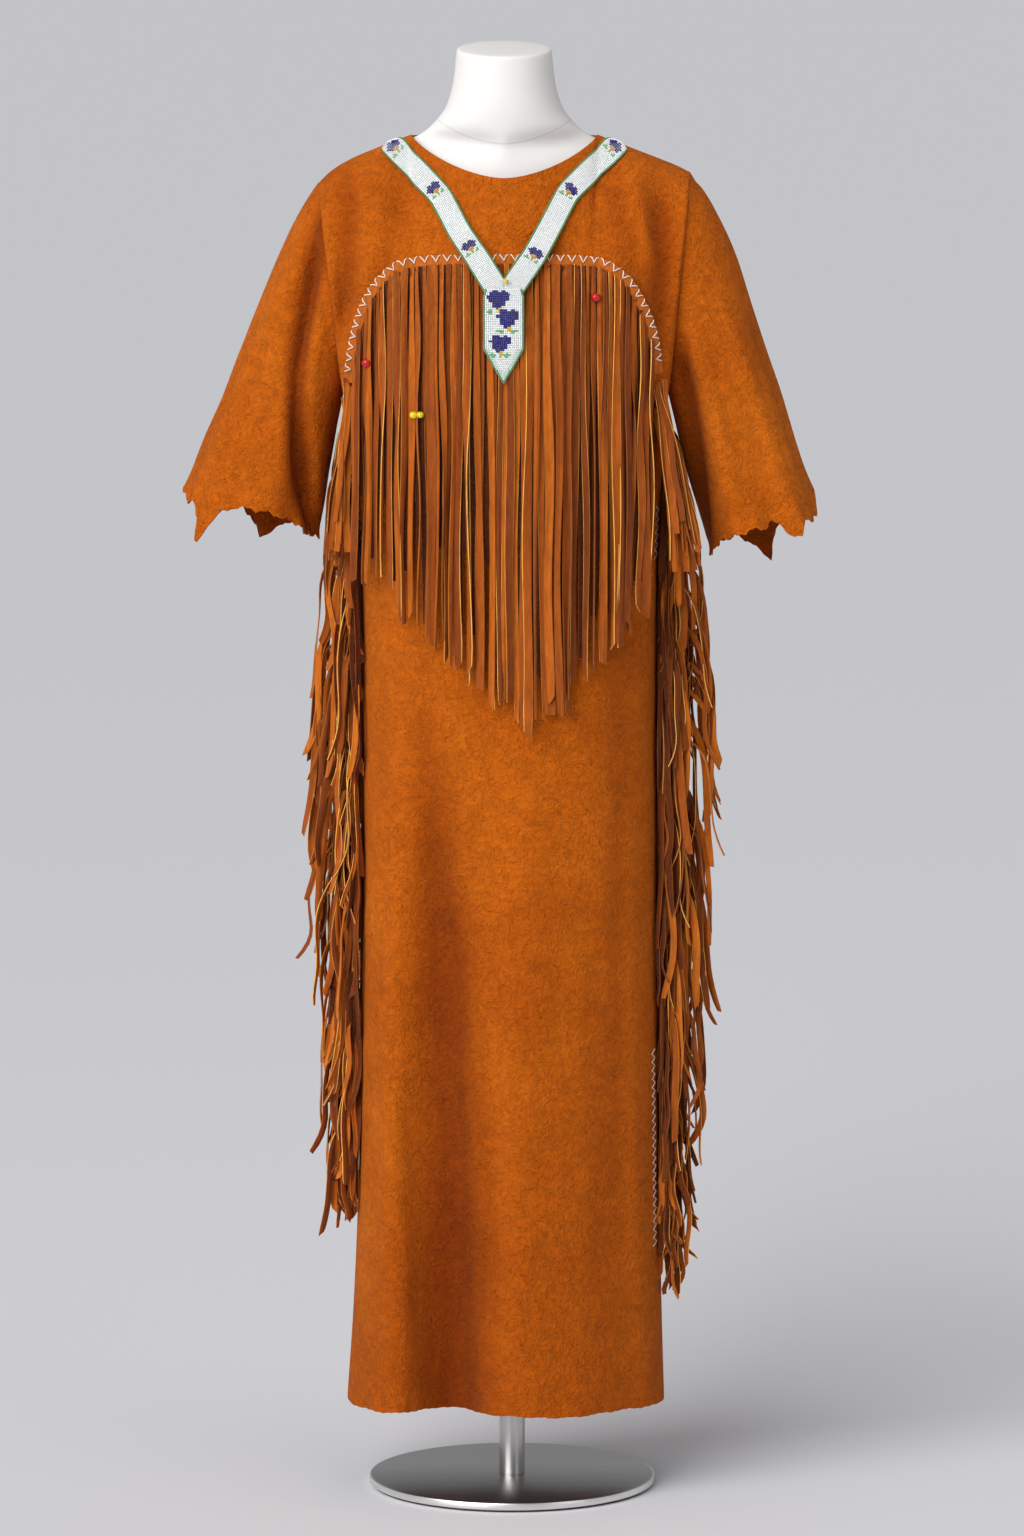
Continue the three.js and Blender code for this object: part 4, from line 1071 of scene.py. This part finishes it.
def arm_strand(strands, rng, name, i):
    side, wide = SIDE[name][0], SLEEVE[name]["inner"][0] - 169
    root_x, root_z = side * rng.uniform(153, 164), rng.uniform(1132, 1176)
    share = np.linspace(0, 1, SIDE_STEPS)
    end_z = rng.uniform(975, 1030)
    z = root_z + (end_z - root_z) * share
    out = 160 + wide * rng.random() ** 0.5 * share**0.7 + 1.5 * np.sin(share * rng.uniform(5, 11) + i)
    start = on_front(np.array([root_x]), np.array([root_z]), 3.0)[0]
    y = start[1] - rng.uniform(1, 12) * share**0.6 - rng.uniform(0, 4)
    x = abs(start[0]) + (out - abs(start[0])) * (1 - np.exp(-share * 5))
    x = np.maximum(x, side_surface(side, y, z) + 2.5)
    twist = np.radians(rng.uniform(-60, 60)) + np.radians(rng.uniform(-60, 60)) * share
    strands.add(np.stack([side * x, y, z], axis=1), twist, rng.uniform(4.4, 7.4), 1.3,
                rng.choice((0.3, 0.6, 0.85)), frame_angle=rng.uniform(0, 0.8) * -side,
                edge=rng.choice((0.2, 0.6, 1.0)), cup=rng.uniform(-1.2, 1.2))


def side_fringe(name, seed):
    side, top, last, _ = SIDE[name]
    rng = random.Random(seed)
    strands = Strands()
    seam_strip(strands, side, top, last)
    root_z, index = float(top), 0
    while root_z > last:
        for lane in LANES:
            if rng.random() < MISSING:
                continue
            start = root_z + rng.uniform(-6, 6)
            if start < last - 6:
                continue
            seam_strand(strands, rng, name, lane, start, index)
            index += 1
        root_z -= LANE_STEP
    for i in range(ARM_STRANDS):
        arm_strand(strands, rng, name, i)
    print(index, "strands and", ARM_STRANDS, "beside the arm")
    return strands.piece("side_strands_" + name, "fringe_side_" + name)


side_right = side_fringe("right", 5)
side_left = side_fringe("left", 8)

# %% [markdown]
# ## Beadwork
# The band is woven on a loom: rows of small glass beads, thirteen across, white with a green edge and
# small violets in dark blue. The violets are charted on a grid, one letter a bead, and worked at the
# places where the band shows them. Each bead is a six-sided barrel with its colour on its corners.

# %% Bead tools
BEAD_COLOURS = {
    "w": (0.97, 0.98, 0.97), "g": (0.08, 0.31, 0.12), "m": (0.72, 0.88, 0.77), "n": (0.013, 0.010, 0.21),
    "y": (0.86, 0.55, 0.03), "o": (0.74, 0.28, 0.06), "l": (0.20, 0.52, 0.22),
}
VIOLET = [
    "..nn.nn..", ".nnnnnnn.", "nnnnnnnnn", ".nnnnnnn.", "..noyonn.", "...yoo...", ".l..o..l.", "lll.l.ll.",
]
BIG_VIOLET = [
    "..nnn..nn...", ".nnnnnnnnnn.", ".nnnnnnnnnnn", "nnnnnnnnnnnn", "nnnnnnnnnnn.", ".nnnnnnnnnn.",
    ".nnnnnnnnn..", "..nnnnnnnn..", "..nnnnnnn...", "...nnnnn....", "....nyyn....", ".l...yy..l..",
    "lll..oy.lll.", ".ll..l..ll..",
]
BEAD_RADIUS, BEAD_HEIGHT = 0.95, 1.72
BARREL = ((-0.5, 0.5), (-0.28, 0.92), (0.28, 0.92), (0.5, 0.5))  # share of the height, share of the radius


class Beads:
    def __init__(self):
        self.points, self.faces, self.colours = [], [], []

    def add(self, centre, axis, up, colour):
        side = np.cross(axis, up)
        first = len(self.points)
        for offset, r in BARREL:
            for k in range(6):
                a = math.pi * k / 3
                spoke = (up * math.cos(a) + side * math.sin(a)) * BEAD_RADIUS * r
                self.points.append(centre + axis * BEAD_HEIGHT * offset + spoke)
                self.colours.append((*BEAD_COLOURS[colour], 1))
        for ring in range(3):
            for k in range(6):
                a, b = first + ring * 6 + k, first + ring * 6 + (k + 1) % 6
                self.faces.append((a, b, b + 6, a + 6))
        self.faces.append(tuple(first + k for k in range(5, -1, -1)))
        self.faces.append(tuple(first + 18 + k for k in range(6)))

    def piece(self, name, *nodes):
        band = linked_mesh(name, self.points, self.faces)
        store_colours(band.data, "bead", "POINT", self.colours)
        face_outward(band.data)
        band.data.polygons.foreach_set("use_smooth", [True] * len(band.data.polygons))
        band.data.materials.append(BEAD_GLASS)
        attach(band, "root")
        if nodes:
            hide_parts(*nodes)
        print(name, len(band.data.polygons), "faces")
        return band


def bead_glass():
    material, tree, shader = new_material("bead_glass", Roughness=0.34, Specular_IOR_Level=0.35)
    tint = node(tree, "ShaderNodeVertexColor", layer_name="bead").outputs["Color"]
    uneven = noise(tree, object_place(tree), 420.0, 1.0)
    shade = ramp(tree, uneven, (0.35, (0.88, 0.89, 0.89)), (0.65, (1.05, 1.05, 1.05)))
    surface(tree, shader, blended(tree, "MULTIPLY", 1.0, tint, shade))
    return material


BEAD_GLASS = bead_glass()
print(sum(row.count("n") for row in VIOLET), "blue beads in a small violet")

# %% [markdown]
# ## The V of the band
# Each strap runs from the shoulder seam down to the middle, with a kink where it leaves the
# collarbone. It lies on the cloth and lifts off it over the fringe. The tab hangs from the joint.

# %% Lines and charts of the straps
STRAP = {  # x and z from the shoulder seam down to the joint
    "right": [
        (-118, 1413.5), (-108, 1404), (-86, 1384), (-65, 1363), (-46, 1328), (-26, 1299), (-12.5, 1277),
        (-4.5, 1264),
    ],
    "left": [
        (118, 1413.5), (108, 1404), (86, 1386), (65, 1366), (46, 1331), (29, 1301), (12.5, 1277),
        (4.5, 1264),
    ],
}
STRAP_VIOLETS = {
    "right": [(-112, 1407), (-68, 1369), (-31, 1312)],
    "left": [(111, 1407), (66, 1368), (28, 1303)],
}
ACROSS, BEAD_PITCH, ROW_PITCH = 13, 1.92, 1.72
STRAP_LOW = 1263  # mm: the straps end here, above the tab
FINE = 240  # points along a strap's middle line


def smoothed(rows, times):
    for _ in range(times):
        rows[1:-1] = (rows[:-2] + 2 * rows[1:-1] + rows[2:]) / 4


def strap_middle(name):
    nodes = np.array(STRAP[name], float)
    span = np.concatenate([[0], np.cumsum(np.linalg.norm(np.diff(nodes, axis=0), axis=1))])
    fine = np.linspace(0, span[-1], FINE)
    line = np.stack([np.interp(fine, span, nodes[:, 0]), np.interp(fine, span, nodes[:, 1])], axis=1)
    smoothed(line, 7)
    rows = int(span[-1] / ROW_PITCH)
    at, spots = np.linspace(0, FINE - 1, rows), np.arange(FINE)
    return np.stack([np.interp(at, spots, line[:, 0]), np.interp(at, spots, line[:, 1])], axis=1)


def strap_chart(name, centre, side):
    rows = len(centre)
    chart = np.full((rows, ACROSS), "w", dtype=object)
    chart[:, 0] = chart[:, -1] = "g"
    for vx, vz in STRAP_VIOLETS[name]:
        row = int(np.argmin(np.hypot(centre[:, 0] - vx, centre[:, 1] - vz))) - 4
        for a, text in enumerate(VIOLET):
            for b, letter in enumerate(text[:: -side]):
                if letter != "." and 0 <= row + a < rows:
                    chart[row + a, 2 + b] = letter
    return chart


print("rows of beads in a strap:", {name: len(strap_middle(name)) for name in STRAP})


# %% Straps
def strap_beads(name):
    side = SLEEVE[name]["side"]
    centre = strap_middle(name)
    way = np.gradient(centre, axis=0)
    way /= np.linalg.norm(way, axis=1, keepdims=True)
    offsets = (np.arange(ACROSS) - (ACROSS - 1) / 2) * BEAD_PITCH
    x = centre[:, None, 0] + way[:, None, 1] * offsets[None, :] * side
    z = centre[:, None, 1] - way[:, None, 0] * offsets[None, :] * side
    lift = 2.3 + 10.8 * (1 - smooth_step(1290, 1345, z))
    turn, level = body_place("front", x, np.minimum(z, top_edge("front", x)[0] - 0.3))
    normals = body_normal("front", turn, level)
    points = body_point("front", turn, level) + normals * lift[..., None]
    normals[..., 2] *= 0.7
    normals /= np.linalg.norm(normals, axis=-1, keepdims=True)
    smoothed(points, 10)
    smoothed(normals, 10)
    normals /= np.linalg.norm(normals, axis=-1, keepdims=True)
    chart = strap_chart(name, centre, side)
    beads = Beads()
    for a in range(len(centre)):
        for b in range(ACROSS):
            p = points[a, b]
            if side * p[0] < 0.9 or p[2] < STRAP_LOW:
                continue
            q = points[a, min(b + 1, ACROSS - 1)] - points[a, max(b - 1, 0)]
            axis = q / max(np.linalg.norm(q), 1e-6)
            wobble = 0.12 * math.sin(a * 2.1 + b * 3.7)
            beads.add(p + normals[a, b] * wobble, axis, normals[a, b], chart[a, b])
    return beads.piece("beads_strap_" + name, "bead_strap_" + name), points, normals


def backing(name, grid, normals, sink):
    cloth = cloth_mesh(name, grid - normals * sink, False)
    turn_outward(cloth, body_axis)
    give_thickness(cloth, 0.5)
    cloth.data.materials.append(WARP)
    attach(cloth, "root")


def thread_material(name, colour, roughness=0.6):
    material, tree, shader = new_material(name, Roughness=roughness)
    ply = noise(tree, object_place(tree), 700.0, 3.0)
    twisted = ramp(tree, ply, (0.3, tuple(c * 0.75 for c in colour)), (0.7, colour))
    surface(tree, shader, twisted, raised(tree, ply, 0.4, 0.0003))
    return material


WARP = thread_material("warp_threads", (0.72, 0.76, 0.74))
strap_right, grid_right, normals_right = strap_beads("right")
strap_left, grid_left, normals_left = strap_beads("left")
backing("strap_warp_right", grid_right, normals_right, 0.7)
backing("strap_warp_left", grid_left, normals_left, 0.7)

# %% The tab
TAB_TOP, TAB_CORNER, TAB_TIP, TAB_HALF, TAB_X = 1272.0, 1211.0, 1176.5, 21.0, -0.6
TAB_VIOLETS = [(1270, -8), (1250, -3), (1225, -7)]  # top z, first column right of the middle


def front_depth(z):
    return -on_front(np.zeros_like(z), z)[:, 1]


def tab_letter(x, z, column, count):
    letter = "w"
    if column in (0, count - 1):
        letter = "g"
    elif z < TAB_CORNER and column in (1, 2, count - 3, count - 2):
        letter = "m"
    for top, left in TAB_VIOLETS:
        i, j = int(round((top - z) / ROW_PITCH)), int(round(x / BEAD_PITCH - left))
        if 0 <= i < len(BIG_VIOLET) and 0 <= j < len(BIG_VIOLET[0]) and BIG_VIOLET[i][j] != ".":
            letter = BIG_VIOLET[i][j]
    return letter


def tab_beads():
    rows = int((TAB_TOP - TAB_TIP) / ROW_PITCH)
    z = np.linspace(TAB_TOP, TAB_TIP, rows)
    near = np.maximum(front_depth(z), float(front_depth(np.array([TAB_CORNER]))[0])) + 8.6
    near = near - 3.0 * smooth_step(1235, 1272, z)
    beads = Beads()
    edges = []
    for a in range(rows):
        half = TAB_HALF
        if z[a] <= TAB_CORNER:
            half = TAB_HALF * (z[a] - TAB_TIP + 1.5) / (TAB_CORNER - TAB_TIP + 1.5)
        half -= 1.6 * float(smooth_step(1262, 1272, z[a]))
        count = max(1, int(round(2 * half / BEAD_PITCH)))
        for b in range(count):
            x = (b - (count - 1) / 2) * BEAD_PITCH
            centre = np.array([x + TAB_X, -near[a] + 0.15 * math.sin(a * 2 + b * 3), z[a]])
            beads.add(centre, np.array([1.0, 0, 0]), np.array([0, -1.0, 0]), tab_letter(x, z[a], b, count))
        edges.append([(h + TAB_X, -near[a] + 0.4, z[a]) for h in (-half, 0, half)])
    tab = beads.piece("beads_tab", "bead_tab")
    grid = np.array(edges)
    facing = np.zeros_like(grid)
    facing[..., 1] = -1
    backing("tab_warp", grid, facing, 0.3)
    return tab


tab = tab_beads()

# %% [markdown]
# ## Stitches and single beads
# White sinew stitches, each a small V, hold the top of the chest fringe all along the arch. A finer
# zigzag shows low on the left side seam, and two short ones just below the arch's ends. Each is a thin
# round curve through points on the cloth. Four larger beads are strung on strands of the fringe, and
# a small one sits where the two straps meet.

# %% Stitches
SINEW = thread_material("sinew", (0.90, 0.87, 0.80))
STITCH_STEP = 11.4  # mm along the arch
STITCH = [  # along the arch, out from it
    (-4.4, 5.0), (-3.0, 3.6), (-1.0, 0.4), (0.1, -1.8), (1.2, 0.4), (2.8, 3.6), (4.3, 5.2),
]


def stitch_row(name, runs, radius):
    curve = bpy.data.curves.new(name, "CURVE")
    curve.dimensions = "3D"
    curve.bevel_depth = radius * MM
    curve.bevel_resolution = 1
    curve.use_fill_caps = True
    for points in runs:
        spline = curve.splines.new("POLY")
        spline.points.add(len(points) - 1)
        for spot, p in zip(spline.points, points):
            spot.co = ((p[0] + CENTRE_X) * MM, p[1] * MM, p[2] * MM, 1)
    row = bpy.data.objects.new(name, curve)
    bpy.context.scene.collection.objects.link(row)
    select_only(row)
    bpy.ops.object.convert(target="MESH")
    bpy.ops.object.shade_smooth()
    row = bpy.context.object
    row.select_set(False)
    row.data.materials.append(SINEW)
    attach(row, "root")
    print(name, len(runs), "stitches")


def arc_stitches():
    rng = random.Random(3)
    x = np.linspace(-158, 156, 500)
    z = smooth_through(ARC_X, ARC_Z, x)
    span = np.concatenate([[0], np.cumsum(np.hypot(np.diff(x), np.diff(z)))])
    end = span[-1]
    count = int(end / STITCH_STEP)
    runs = []
    for k in range(count):
        run = []
        for along, out in STITCH:
            s0 = min(max(end * (k + 0.5) / count + along + rng.uniform(-0.4, 0.4), 0), end)
            px, pz = float(np.interp(s0, span, x)), float(np.interp(s0, span, z))
            after, before = min(s0 + 2, end), max(s0 - 2, 0)
            wx = float(np.interp(after, span, x) - np.interp(before, span, x))
            wz = float(np.interp(after, span, z) - np.interp(before, span, z))
            size = math.hypot(wx, wz)
            lift = 3.9 if out < 4.5 else 1.2
            run.append(on_front(px - wz / size * out, pz + wx / size * out, lift))
        runs.append(run)
    stitch_row("arc_stitches", runs, 0.62)


def seam_stitches(name, x_table, z_low, z_high, reach=1.7):
    points = []
    count = int((z_high - z_low) / 4.4)
    for k in range(count + 1):
        z = z_low + (z_high - z_low) * k / count
        x = float(np.interp(z, *x_table)) + (reach if k % 2 else -reach)
        points.append(on_front(x, z, 1.0))
    stitch_row(name, [points], 0.42)


arc_stitches()
seam_stitches("seam_stitches_left", ([280, 500], [156.5, 154]), 262, 470)
seam_stitches("seam_stitches_left_top", ([980, 1060], [156, 158]), 985, 1040)
seam_stitches("seam_stitches_right_top", ([980, 1060], [-147, -152]), 1000, 1035)


# %% Larger beads
def pony_bead(name, x, z, lift, colour, radius=5.2):
    p = on_front(float(x), float(z), float(lift))
    bpy.ops.mesh.primitive_torus_add(
        location=((p[0] + CENTRE_X) * MM, p[1] * MM, p[2] * MM),
        rotation=(math.radians(8), math.radians(12), 0),
        major_radius=radius * 0.52 * MM, minor_radius=radius * 0.48 * MM, major_segments=32, minor_segments=16)
    bead = bpy.context.object
    bead.name = name
    bead.scale = (1, 1, 1.55)
    bpy.ops.object.transform_apply(location=True, rotation=True, scale=True)
    bpy.ops.object.shade_smooth()
    bead.select_set(False)
    glass, tree, shader = new_material(name + "_glass", Roughness=0.12)
    swirl = noise(tree, object_place(tree), 300.0, 2.0)
    surface(tree, shader, ramp(tree, swirl, (0.3, tuple(c * 0.8 for c in colour)), (0.7, colour)))
    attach(bead, "root")
    bead.data.materials.append(glass)


RED, YELLOW = (0.55, 0.01, 0.008), (0.86, 0.66, 0.01)
pony_bead("bead_red_low", -137, 1194, 8.5, RED)
pony_bead("bead_yellow", -90, 1143, 9.0, YELLOW, 4.3)
pony_bead("bead_yellow_2", -83.4, 1143.4, 9.0, (0.80, 0.62, 0.01), 3.8)
pony_bead("bead_red_high", 93, 1260, 8.5, RED)
pony_bead("bead_joint", 1.5, 1276, 17.0, (0.85, 0.6, 0.03), 2.6)
print("five larger beads")

# %% [markdown]
# ## Form and stand
# The form is a smooth white body without limbs, cut off flat at the neck and below the hips. The frame
# has its shape in plain facets. The table of sections it was made from is used again here, with many
# more sides and rings, a rounded rim at the neck and the same size. The stand is a brushed steel tube
# in a round plate with a bright turned edge, on a thin rubber pad.

# %% Sections and paint of the form
FORM_Z, FORM_WIDE, FORM_FRONT, FORM_BACK, FORM_POWER = zip(  # half widths, and how square a section is
    (780, 118, 72, 74, 2.2), (798, 128, 80, 82, 2.2), (860, 134, 84, 86, 2.2), (930, 128, 84, 80, 2.2),
    (1020, 112, 82, 74, 2.1), (1110, 128, 92, 78, 2.1), (1190, 142, 106, 82, 2.1), (1260, 146, 96, 80, 2.1),
    (1320, 154, 78, 68, 2.0), (1354, 165, 64, 54, 1.8), (1374, 172, 56, 46, 1.6), (1388, 167, 53, 43, 1.4),
    (1397, 150, 51, 43, 1.3), (1405.4, 129, 49, 43, 1.2), (1412.6, 108, 47, 43, 1.1), (1419, 91, 48, 44, 1.2),
    (1427, 79, 49.5, 46, 1.6), (1436, 70, 50.5, 48, 1.9), (1450, 60, 51.5, 49, 2.0), (1474, 53, 50.5, 49.5, 2.0),
    (1508, 49, 48, 48, 2.0),
)
FORM_LOW, FORM_TOP, FORM_SIDES = 780, 1508, 112
RIM = (  # share of the radius, rise
    (0.985, 1.0), (0.955, 1.7), (0.9, 2.1), (0.6, 2.7), (0.25, 3.0), (0.04, 3.0),
)
NECK_LINE_Z = 1.4150  # metres: a fine parting line round the neck's foot


def form_material():
    material, tree, shader = new_material("matt_white_form", Roughness=0.5, Specular_IOR_Level=0.3)
    place = object_place(tree)
    axes = node(tree, "ShaderNodeSeparateXYZ")
    tree.links.new(place, axes.inputs["Vector"])

    def worked(operation, a, b):
        made = node(tree, "ShaderNodeMath", operation=operation)
        for socket, value in zip(made.inputs, (a, b)):
            if hasattr(value, "is_linked"):
                tree.links.new(value, socket)
            else:
                socket.default_value = value
        return made.outputs["Value"]

    across = worked("ADD", axes.outputs["X"], -CENTRE_X * MM)
    bowed = worked("MULTIPLY", worked("MULTIPLY", across, across), 4.7)
    level = worked("SUBTRACT", axes.outputs["Z"], bowed)
    off = worked("ABSOLUTE", worked("SUBTRACT", level, NECK_LINE_Z), 0.0)
    seam = ramp(tree, worked("MULTIPLY", off, 420.0), (0.0, (0.80, 0.79, 0.78)), (0.5, (1, 1, 1)))
    paint = ramp(tree, noise(tree, place, 5.0, 3.0), (0.3, (0.80, 0.775, 0.75)), (0.7, (0.85, 0.825, 0.80)))
    skin = noise(tree, place, 700.0, 2.0)
    surface(tree, shader, blended(tree, "MULTIPLY", 1.0, paint, seam), raised(tree, skin, 0.12, 0.0003))
    return material


print("form sections:", len(FORM_Z))


# %% Dress form
def dress_form():
    z = np.concatenate([np.linspace(FORM_LOW, 1300, 30)[:-1], np.linspace(1300, 1440, 36)[:-1],
                        np.linspace(1440, FORM_TOP, 18)])
    angle = np.linspace(0, 2 * math.pi, FORM_SIDES, endpoint=False)
    z, angle = np.meshgrid(z, angle, indexing="ij")
    c, s0 = np.cos(angle), np.sin(angle)
    power = smooth_through(FORM_Z, FORM_POWER, z)
    grow = (np.abs(c) ** power + np.abs(s0) ** power) ** (-1 / power)
    under = 1.8 * (1 - smooth_step(1400, 1421, z))  # a little slimmer where the dress covers it
    x = c * grow * (smooth_through(FORM_Z, FORM_WIDE, z) - under)
    reach = np.where(s0 < 0, smooth_through(FORM_Z, FORM_FRONT, z), smooth_through(FORM_Z, FORM_BACK, z))
    y = s0 * grow * (reach - under)
    lean = 0.11 * np.maximum(0, (z - 1450) / 58)
    rings = np.stack([x, y, z + y * lean], axis=-1)
    rim = rings[-1]
    cap = [np.stack([rim[:, 0] * k, rim[:, 1] * k, FORM_TOP + (rim[:, 2] - FORM_TOP) * k + rise], axis=-1)
           for k, rise in RIM]
    bottom = [np.stack([rings[0, :, 0] * k, rings[0, :, 1] * k, np.full(FORM_SIDES, float(FORM_LOW))], axis=-1)
              for k in (0.04, 0.5, 0.96)]
    cloth = cloth_mesh("form_body", np.concatenate([np.stack(bottom), rings, np.stack(cap)]), True)
    face_outward(cloth.data, fill_holes=True)
    select_only(cloth)
    bpy.ops.object.shade_smooth_by_angle(angle=math.radians(40))
    cloth.select_set(False)
    cloth.data.materials.append(form_material())
    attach(cloth, "root")
    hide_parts("dress_form")
    print("form has", len(cloth.data.polygons), "faces")
    return cloth


form = dress_form()


# %% Brushed steel
def steel_material(name, low, high, stretch, roughness):
    material, tree, shader = new_material(name, Metallic=1.0, Roughness=roughness)
    brush = noise(tree, object_place(tree, stretch), 60.0, 6.0, 0.7)
    surface(tree, shader, ramp(tree, brush, (0.3, low), (0.7, high)), raised(tree, brush, 0.15, 0.0002))
    return material


def turned(name, profile, steps, material, node_name=None):
    bpy.ops.mesh.primitive_circle_add(vertices=3, radius=0.01)
    made = bpy.context.object
    made.name = name
    bm = bmesh.new()
    spots = [bm.verts.new((r * MM, 0, z * MM)) for r, z in profile]
    lines = [bm.edges.new((a, b)) for a, b in zip(spots, spots[1:])]
    bmesh.ops.spin(bm, geom=spots + lines, cent=(0, 0, 0), axis=(0, 0, 1), angle=2 * math.pi, steps=steps)
    bmesh.ops.remove_doubles(bm, verts=bm.verts, dist=0.00001)
    bmesh.ops.recalc_face_normals(bm, faces=bm.faces)
    bm.to_mesh(made.data)
    bm.free()
    bpy.ops.object.shade_smooth_by_angle(angle=math.radians(25))
    made.select_set(False)
    made.data.materials.append(material)
    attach(made, "root")
    if node_name:
        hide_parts(node_name)
    print(name, len(made.data.polygons), "faces")
    return made


# %% Stand
PLATE_STEEL = steel_material("brushed_plate", (0.40, 0.395, 0.385), (0.50, 0.49, 0.48), (0.25, 4, 1), 0.34)
TUBE_STEEL = steel_material("brushed_tube", (0.46, 0.45, 0.44), (0.58, 0.57, 0.56), (7, 7, 0.2), 0.24)
RIM_STEEL = steel_material("turned_rim", (0.74, 0.73, 0.71), (0.9, 0.89, 0.88), (1, 1, 20), 0.3)
pole_low, pole_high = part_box("stand_pole")
base_low, base_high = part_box("stand_base")
print("pole", pole_low, pole_high, "plate", base_low, base_high)
PLATE = [(0, 1.7), (147, 1.7), (149, 2.2), (150, 3.4), (150, 8.4), (149.6, 9.4), (148.2, 10), (0, 10)]
BRIGHT_FROM = 0.1465  # metres: the plate's edge is polished outside this radius
plate = turned("base_plate", PLATE, 160, PLATE_STEEL, "stand_base")
plate.data.materials.append(RIM_STEEL)
for face in plate.data.polygons:
    nearest = min(math.hypot(*plate.data.vertices[v].co[:2]) for v in face.vertices)
    if nearest > BRIGHT_FROM:
        face.material_index = 1
pad_material = thread_material("pad_rubber", (0.03, 0.03, 0.032), 0.7)
turned("base_pad", [(0, 0), (146.5, 0), (147, 1.6), (0, 1.6)], 128, pad_material)
POLE_RADIUS = 13.5
low, high = pole_low[2] / MM, pole_high[2] / MM
pole_profile = [(0, low), (POLE_RADIUS, low), (POLE_RADIUS, high), (0, high)]
turned("pole_tube", pole_profile, 64, TUBE_STEEL, "stand_pole")

# %% [markdown]
# ## The cloth's cut
# The front and the back are near rectangles from shoulder to hem, with a scooped neck and armholes.
# A sleeve is a wide short piece, wrapped round the arm, with a ragged lower edge.

print("four cloth pieces: front, back and two sleeves")
